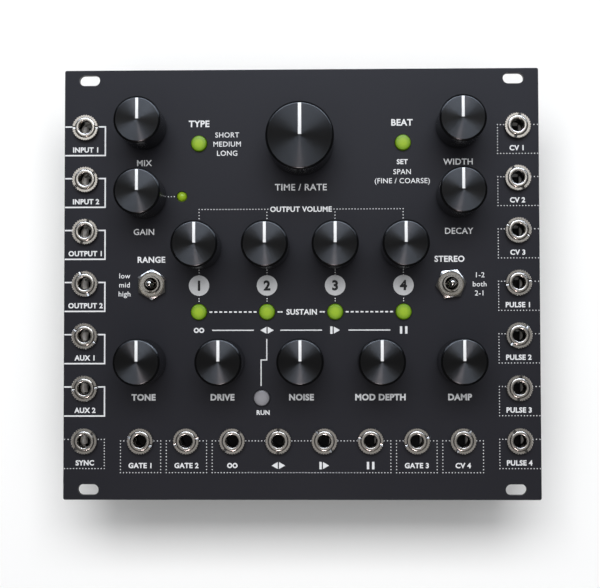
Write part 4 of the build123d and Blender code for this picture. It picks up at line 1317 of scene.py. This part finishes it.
# %% Lamp
LAMP_RADIUS = 1.5
LAMP_RIM = 1.9
LAMP_BASE = 1.0
LAMP_LENGTH = 5.3
LEAD_WIDTH = 0.5
LEAD_PITCH = 1.5
LEAD_EDGE = 0.05
LENS_SIDES = 48
LENS_STEPS = 10
lamp_low, lamp_top = (corner[2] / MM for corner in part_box("lamp"))
lamp_place = middle("lamp")
lens_low = lamp_top - LAMP_LENGTH
base_top = lens_low + LAMP_BASE
base = [(LAMP_RIM, lens_low), (LAMP_RIM, base_top), (LAMP_RADIUS, base_top)]
dome = arc(LAMP_RADIUS, LAMP_RADIUS, 0, 90, LENS_STEPS, (0.0, lamp_top - LAMP_RADIUS))
pattern = turned("lens", base + dome, LENS_SIDES, smooth=40)
turning_map(pattern)
lens = copied(pattern, "lamp_lens", lamp_place)
bpy.data.objects.remove(pattern)
dressed(lens, green_finish, "module", "lamp_green", "lamp")
lead_size = (LEAD_WIDTH, LEAD_WIDTH, lens_low - lamp_low)
leads = []
for side in (-1, 1):
    lead_place = (lamp_place.x + side * LEAD_PITCH / 2, lamp_place.y, (lens_low + lamp_low) / 2)
    leads.append(bevelled(block(lead_size, lead_place), LEAD_EDGE))
dressed(joined("lamp_leads", leads), nickel_finish, "module", "nickel")
print("lamp at", [round(v, 2) for v in lamp_place])

# %% [markdown]
# ## Behind the panel
# The pieces behind the panel are mouldings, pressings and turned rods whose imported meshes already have
# their true shape, so they are kept and only given finishes. A moulding is matte with a fine grain, and
# the metals are the sockets' plating in other colours.

# %% Finishes of mouldings and metals
def moulded(name, dark, light, roughness):
    """Matte plastic with a fine grain."""
    finish = Finish(name, {"IOR": 1.5})
    grain = finish.noise(0.25, 3.0)
    cloud = finish.noise(6.0)
    finish.feed(Base_Color=finish.blend(cloud, dark, light), Roughness=roughness + 0.15 * grain,
                Normal=finish.bump(grain, 0.01))
    return finish


def keep(finish, *nodes):
    """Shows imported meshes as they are, in a finish."""
    for node in nodes:
        materials = frame["nodes"][node].data.materials
        materials.clear()
        materials.append(finish.material)


case_finish = moulded("case_black", shade(0.014, 0.014, 0.015), shade(0.024, 0.024, 0.026), 0.5)
blue_finish = moulded("switch_blue", shade(0.022, 0.07, 0.13), shade(0.035, 0.10, 0.17), 0.42)
chip_finish = moulded("chip_black", shade(0.018, 0.018, 0.019), shade(0.03, 0.03, 0.032), 0.6)
steel_finish = plated("steel", shade(0.45, 0.45, 0.46), shade(0.60, 0.60, 0.61), 0.26)
brass_finish = plated("brass", shade(0.60, 0.44, 0.19), shade(0.76, 0.60, 0.31), 0.22)
keep(case_finish, "jack_housings", "button_switches", "board_connectors", "power_header")
keep(blue_finish, "pot_housings", "toggle_housings")
keep(chip_finish, "signal_processor", "small_chips")
keep(steel_finish, "pot_bushings", "board_screws", *[f"shaft_{name}" for name in knob_names])
keep(brass_finish, "board_standoffs", "power_pins")
keep(spring_finish, "jack_springs")
keep(nickel_finish, "pot_nuts")
print("kept pieces have finishes")

# %% [markdown]
# A circuit board is glass laminate with copper traces under green lacquer. Modelled traces would cost
# thousands of faces for a step thinner than a hair, so they come from a Voronoi texture with square cells:
# its seams make a net of straight runs, as a layout program draws them. Small tinned dots are vias, and
# the cut edges, whose normals lie level, show the bare tan laminate. The capacitors are drawn cans.

# %% Circuit boards and capacitor cans
TRACE_CELL = 3.4
TRACE_SHARE = 0.10
VIA_CELL = 4.6
VIA_SHARE = 0.1


def solder_mask():
    """Green lacquer over traces and vias, with bare laminate at the edges."""
    finish = Finish("board_green", {"IOR": 1.5, "Coat Weight": 0.25})
    place = finish.place()
    cells = {"Vector": place, "Scale": 1 / (TRACE_CELL * MM)}
    near, next_near = (finish.node("TexVoronoi", {"feature": feature, "distance": "CHEBYCHEV"}, cells)
                       for feature in ("F1", "F2"))
    trace = next_near - near < TRACE_SHARE
    via = finish.node("TexVoronoi", {}, {"Vector": place, "Scale": 1 / (VIA_CELL * MM)}) < VIA_SHARE
    facing = finish.node("SeparateXYZ", {}, {0: finish.node("NewGeometry", {}, {}, "Normal")}, "Z")
    face = finish.node("Math", {"operation": "ABSOLUTE"}, {0: facing}) > 0.5
    grain = finish.noise(0.2, 3.0)
    lacquer = finish.blend(trace, shade(0.006, 0.046, 0.024), shade(0.014, 0.085, 0.042))
    lacquer = finish.blend(via, lacquer, shade(0.45, 0.44, 0.40))
    laminate = finish.blend(grain, shade(0.30, 0.25, 0.13), shade(0.42, 0.36, 0.20))
    finish.feed(Base_Color=finish.blend(face, laminate, lacquer), Roughness=0.32 + 0.2 * grain,
                Normal=finish.bump(trace * 0.6 + grain * 0.1, 0.03))
    return finish


CAN_CENTRE = 44.75
CAN_PRINT = 2.0
CAN_PRINT_DEPTH = 0.05
CAN_BASE = 1.6
board_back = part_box("processor_board")[0][2] / MM


def drawn_can():
    """Bare aluminium with a dark printed segment on its head, on a black plastic foot."""
    finish = Finish("capacitor_can", {"IOR": 1.5})
    axes = finish.node("VectorMath", {"operation": "ABSOLUTE"}, {0: finish.place()})
    across = finish.node("SeparateXYZ", {}, {0: axes}, "X")
    depth = finish.node("SeparateXYZ", {}, {0: axes}, "Z")
    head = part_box("capacitors")[0][2] / MM
    printed = (across > (CAN_CENTRE + CAN_PRINT) * MM) * (depth > (-head - CAN_PRINT_DEPTH) * MM)
    foot = depth < (CAN_BASE - board_back) * MM
    bare = (1.0 - printed) * (1.0 - foot)
    brushed = finish.noise(0.3, 3.0)
    metal = finish.blend(brushed, shade(0.55, 0.56, 0.58), shade(0.70, 0.71, 0.73))
    finish.feed(Base_Color=finish.blend(bare, shade(0.012, 0.012, 0.013), metal), Metallic=bare,
                Roughness=0.28 + 0.2 * brushed)
    return finish


keep(solder_mask(), "control_board", "processor_board")
keep(drawn_can(), "capacitors")
print("boards and cans finished, board back at", round(board_back, 1), "mm")

# %% [markdown]
# ## Small parts on the back
# The packages stand on bent tinned leads, over 250 of them, so a lead has only a few faces. It is a small
# plane that is extruded out of the package, down to the board and out again, and it is copied along the
# packages' sides.

# %% Package leads
CHIP_SHARES = ((0.16, 0.02), (0.42, 0.02), (0.16, -0.3), (0.42, -0.3),
               (-0.58, 0.02), (-0.58, -0.3), (0.16, -0.62), (0.42, -0.62))
PROCESSOR_SHARE = (-0.2, -0.15)
PROCESSOR_HALF = 10.0
CHIP_HALF = 1.95
LEAD_THICKNESS = 0.15
LEAD_SEAT = 0.1
LEAD_RUNS = (0.4, 0.3, 0.6)
WIDE_LEAD = (0.42, 0.75)
FINE_LEAD = (0.22, 0.7)
CHIP_LEADS = (7, 1.27)
PROCESSOR_LEADS = (36, 0.5)
board_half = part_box("processor_board")[1] / MM
chip_places = [(across * board_half[0], up * board_half[1]) for across, up in CHIP_SHARES]
processor_place = (PROCESSOR_SHARE[0] * board_half[0], PROCESSOR_SHARE[1] * board_half[1])


def gull_lead(start, width, height):
    """A bent lead along +Y that starts in a package's side and ends with its foot on the board."""
    place = Vector((0, start - LEAD_SEAT, board_back - height)) * MM
    part = fresh(bpy.ops.mesh.primitive_plane_add, Vector((width, LEAD_THICKNESS, 1)) * MM, size=1,
                 location=place, rotation=(math.pi / 2, 0, 0))
    edit(part)
    for run, drop in zip(LEAD_RUNS, (0, height - LEAD_THICKNESS / 2, 0)):
        extrude(0, run, drop)
    return settle(part, "lead")


def lead_row(lead, place, count, pitch, turns):
    """Copies of a lead along the sides of a package."""
    row = []
    for turn in turns:
        for i in range(count):
            across = (i - (count - 1) / 2) * pitch
            x, y = place[0] + across * math.cos(turn), place[1] + across * math.sin(turn)
            row.append(copied(lead, "lead", (x, y), turn))
    return row


wide_lead = gull_lead(CHIP_HALF, *WIDE_LEAD)
fine_lead = gull_lead(PROCESSOR_HALF, *FINE_LEAD)
leads = lead_row(fine_lead, processor_place, *PROCESSOR_LEADS, [math.pi / 2 * i for i in range(4)])
for place in chip_places:
    leads += lead_row(wide_lead, place, *CHIP_LEADS, (0, math.pi))
bpy.data.objects.remove(wide_lead)
bpy.data.objects.remove(fine_lead)
tin_finish = plated("tin", shade(0.58, 0.58, 0.57), shade(0.74, 0.74, 0.73), 0.3)
print("leads", len(leads))
dressed(joined("package_leads", leads), tin_finish, "module", "nickel")

# %% [markdown]
# Resistors and ceramic capacitors are rectangular chips a millimetre or two long, with tinned ends that
# wrap round the body. Rows of them stand beside the packages. Body and ends are boxes with broken edges,
# in two pieces because they have two finishes.

# %% Resistors and ceramic capacitors
CHIP_BODY = (1.5, 0.8, 0.45)
CHIP_END = (0.36, 0.86, 0.52)
CHIP_ROW = 4.7
CHIP_PITCH = 2.6
PROCESSOR_ROW = 13.4
PROCESSOR_PITCH = 4.4
CERAMIC_SHARES = (-1.5, -0.5, 0.5, 1.5)
CHIP_EDGE = 0.06


def standing(size, x=0.0):
    """A box with broken edges that stands on the back of the processor board."""
    return bevelled(block(size, (x, 0, board_back - size[2] / 2)), CHIP_EDGE)


body_shape = standing(CHIP_BODY)
ends_shape = joined("ends", [standing(CHIP_END, side * CHIP_BODY[0] / 2) for side in (-1, 1)])
resistors = [(x + across * CHIP_PITCH, y + side * CHIP_ROW, 0.0)
             for x, y in chip_places for side in (-1, 1) for across in (-1, 0, 1)]
ceramics = []
for side in (-1, 1):
    for share in CERAMIC_SHARES:
        along, out = share * PROCESSOR_PITCH, side * PROCESSOR_ROW
        ceramics.append((processor_place[0] + along, processor_place[1] + out, 0.0))
        ceramics.append((processor_place[0] + out, processor_place[1] + along, math.pi / 2))
resistor_finish = moulded("resistor_black", shade(0.012, 0.012, 0.014), shade(0.022, 0.022, 0.025), 0.3)
ceramic_finish = moulded("ceramic_tan", shade(0.30, 0.20, 0.11), shade(0.38, 0.27, 0.16), 0.4)
for name, places, finish in (("resistors", resistors, resistor_finish),
                             ("ceramics", ceramics, ceramic_finish)):
    bodies = [copied(body_shape, "body", place, place[2]) for place in places]
    ends = [copied(ends_shape, "ends", place, place[2]) for place in places]
    dressed(joined(f"{name}_bodies", bodies), finish, "module", "chip_black")
    dressed(joined(f"{name}_ends", ends), tin_finish, "module", "nickel")
bpy.data.objects.remove(body_shape)
bpy.data.objects.remove(ends_shape)
print("resistors", len(resistors), "ceramic capacitors", len(ceramics))

# %% [markdown]
# White outlines are printed round the packages and the power header, with a dot at a chip's first lead, as
# a guide to whoever fits them. They are ink on the board, so each stroke is a very flat box.

# %% Printing on the board
SILK = (0.18, 0.03)
DOT = 0.32
DOT_PLACE = (-5.6, 2.6)
FIRST_DOT_SIDES = 16
PROCESSOR_FRAME = (12.2, 12.2)
HEADER_FRAME = (15.2, 5.6)
CHIP_FRAME = (5.1, 3.5)


def outline_box(place, half_width, half_height):
    """Four strokes round a place on the board's back."""
    width, thickness = SILK
    level = board_back - thickness / 2
    strokes = []
    for side in (-1, 1):
        strokes.append(block((2 * half_width, width, thickness),
                             (place[0], place[1] + side * half_height, level)))
        strokes.append(block((width, 2 * half_height - width, thickness),
                             (place[0] + side * half_width, place[1], level)))
    return strokes


def first_dot(x, y, level):
    """A small disc of ink that faces the back."""
    top = level - SILK[1]
    dot = turned("dot", [(DOT, level), (DOT, top), (0, top)], FIRST_DOT_SIDES)
    dot.data.transform(Matrix.Translation(Vector((x, y, 0)) * MM))
    return dot


header_place = middle("power_header")
silk = outline_box(processor_place, *PROCESSOR_FRAME) + outline_box(header_place, *HEADER_FRAME)
for place in chip_places:
    silk += outline_box(place, *CHIP_FRAME)
    silk.append(first_dot(place[0] + DOT_PLACE[0], place[1] + DOT_PLACE[1], board_back))
dressed(joined("board_printing", silk), ink_finish, "module", "board")
print("board printing drawn round", len(chip_places) + 2, "pieces")

# %% [markdown]
# The sockets, potentiometers and switches are soldered through the control board. Each joint is a small
# cone of solder with the end of a pin in it, turned once with few sides and copied to every pin. Where a
# connector between the boards needs the room, there is none.

# %% Solder joints
JACK_PINS = ((0.0, -4.6), (-2.4, 3.3), (2.4, 3.3))
POT_PINS = ((-2.5, -6.6), (0.0, -6.6), (2.5, -6.6), (-4.4, 0.0), (4.4, 0.0))
TOGGLE_PINS = ((0.0, -2.5), (0.0, 0.0), (0.0, 2.5))
SWITCH_PINS = ((-2.25, -2.2), (2.25, -2.2), (-2.25, 2.2), (2.25, 2.2))
CONNECTOR_ROOM = (27.0, 4.0)
CONNECTOR_HALF = 2.5
JOINT_STEPS = ((0.75, 0.0), (0.62, 0.22), (0.4, 0.6), (0.27, 0.85), (0.24, 1.25), (0, 1.3))
JOINT_SIDES = 10
control_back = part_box("control_board")[0][2] / MM
connector_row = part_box("board_connectors")[1][1] / MM - CONNECTOR_HALF


def clear_of_connectors(x, y):
    """Whether a joint has room beside the connectors between the boards."""
    return abs(x) > CONNECTOR_ROOM[0] or abs(abs(y) - connector_row) > CONNECTOR_ROOM[1]


joint = turned("joint", [(radius, control_back - drop) for radius, drop in JOINT_STEPS], JOINT_SIDES)
pins = [(jack, JACK_PINS) for jack in sockets]
pins += [(middle(f"shaft_{name}"), POT_PINS) for name in knob_names]
pins += [(place, TOGGLE_PINS) for place in toggle_places]
pins += [(middle(f"button_{name}"), SWITCH_PINS) for name in button_names]
places = [(at[0] + across, at[1] + up) for at, offsets in pins for across, up in offsets]
joint_spots = [(place, 0.0) for place in places if clear_of_connectors(*place)]
print("solder joints", len(joint_spots))
dressed(repeated("solder_joints", joint, joint_spots), tin_finish, "module", "nickel")
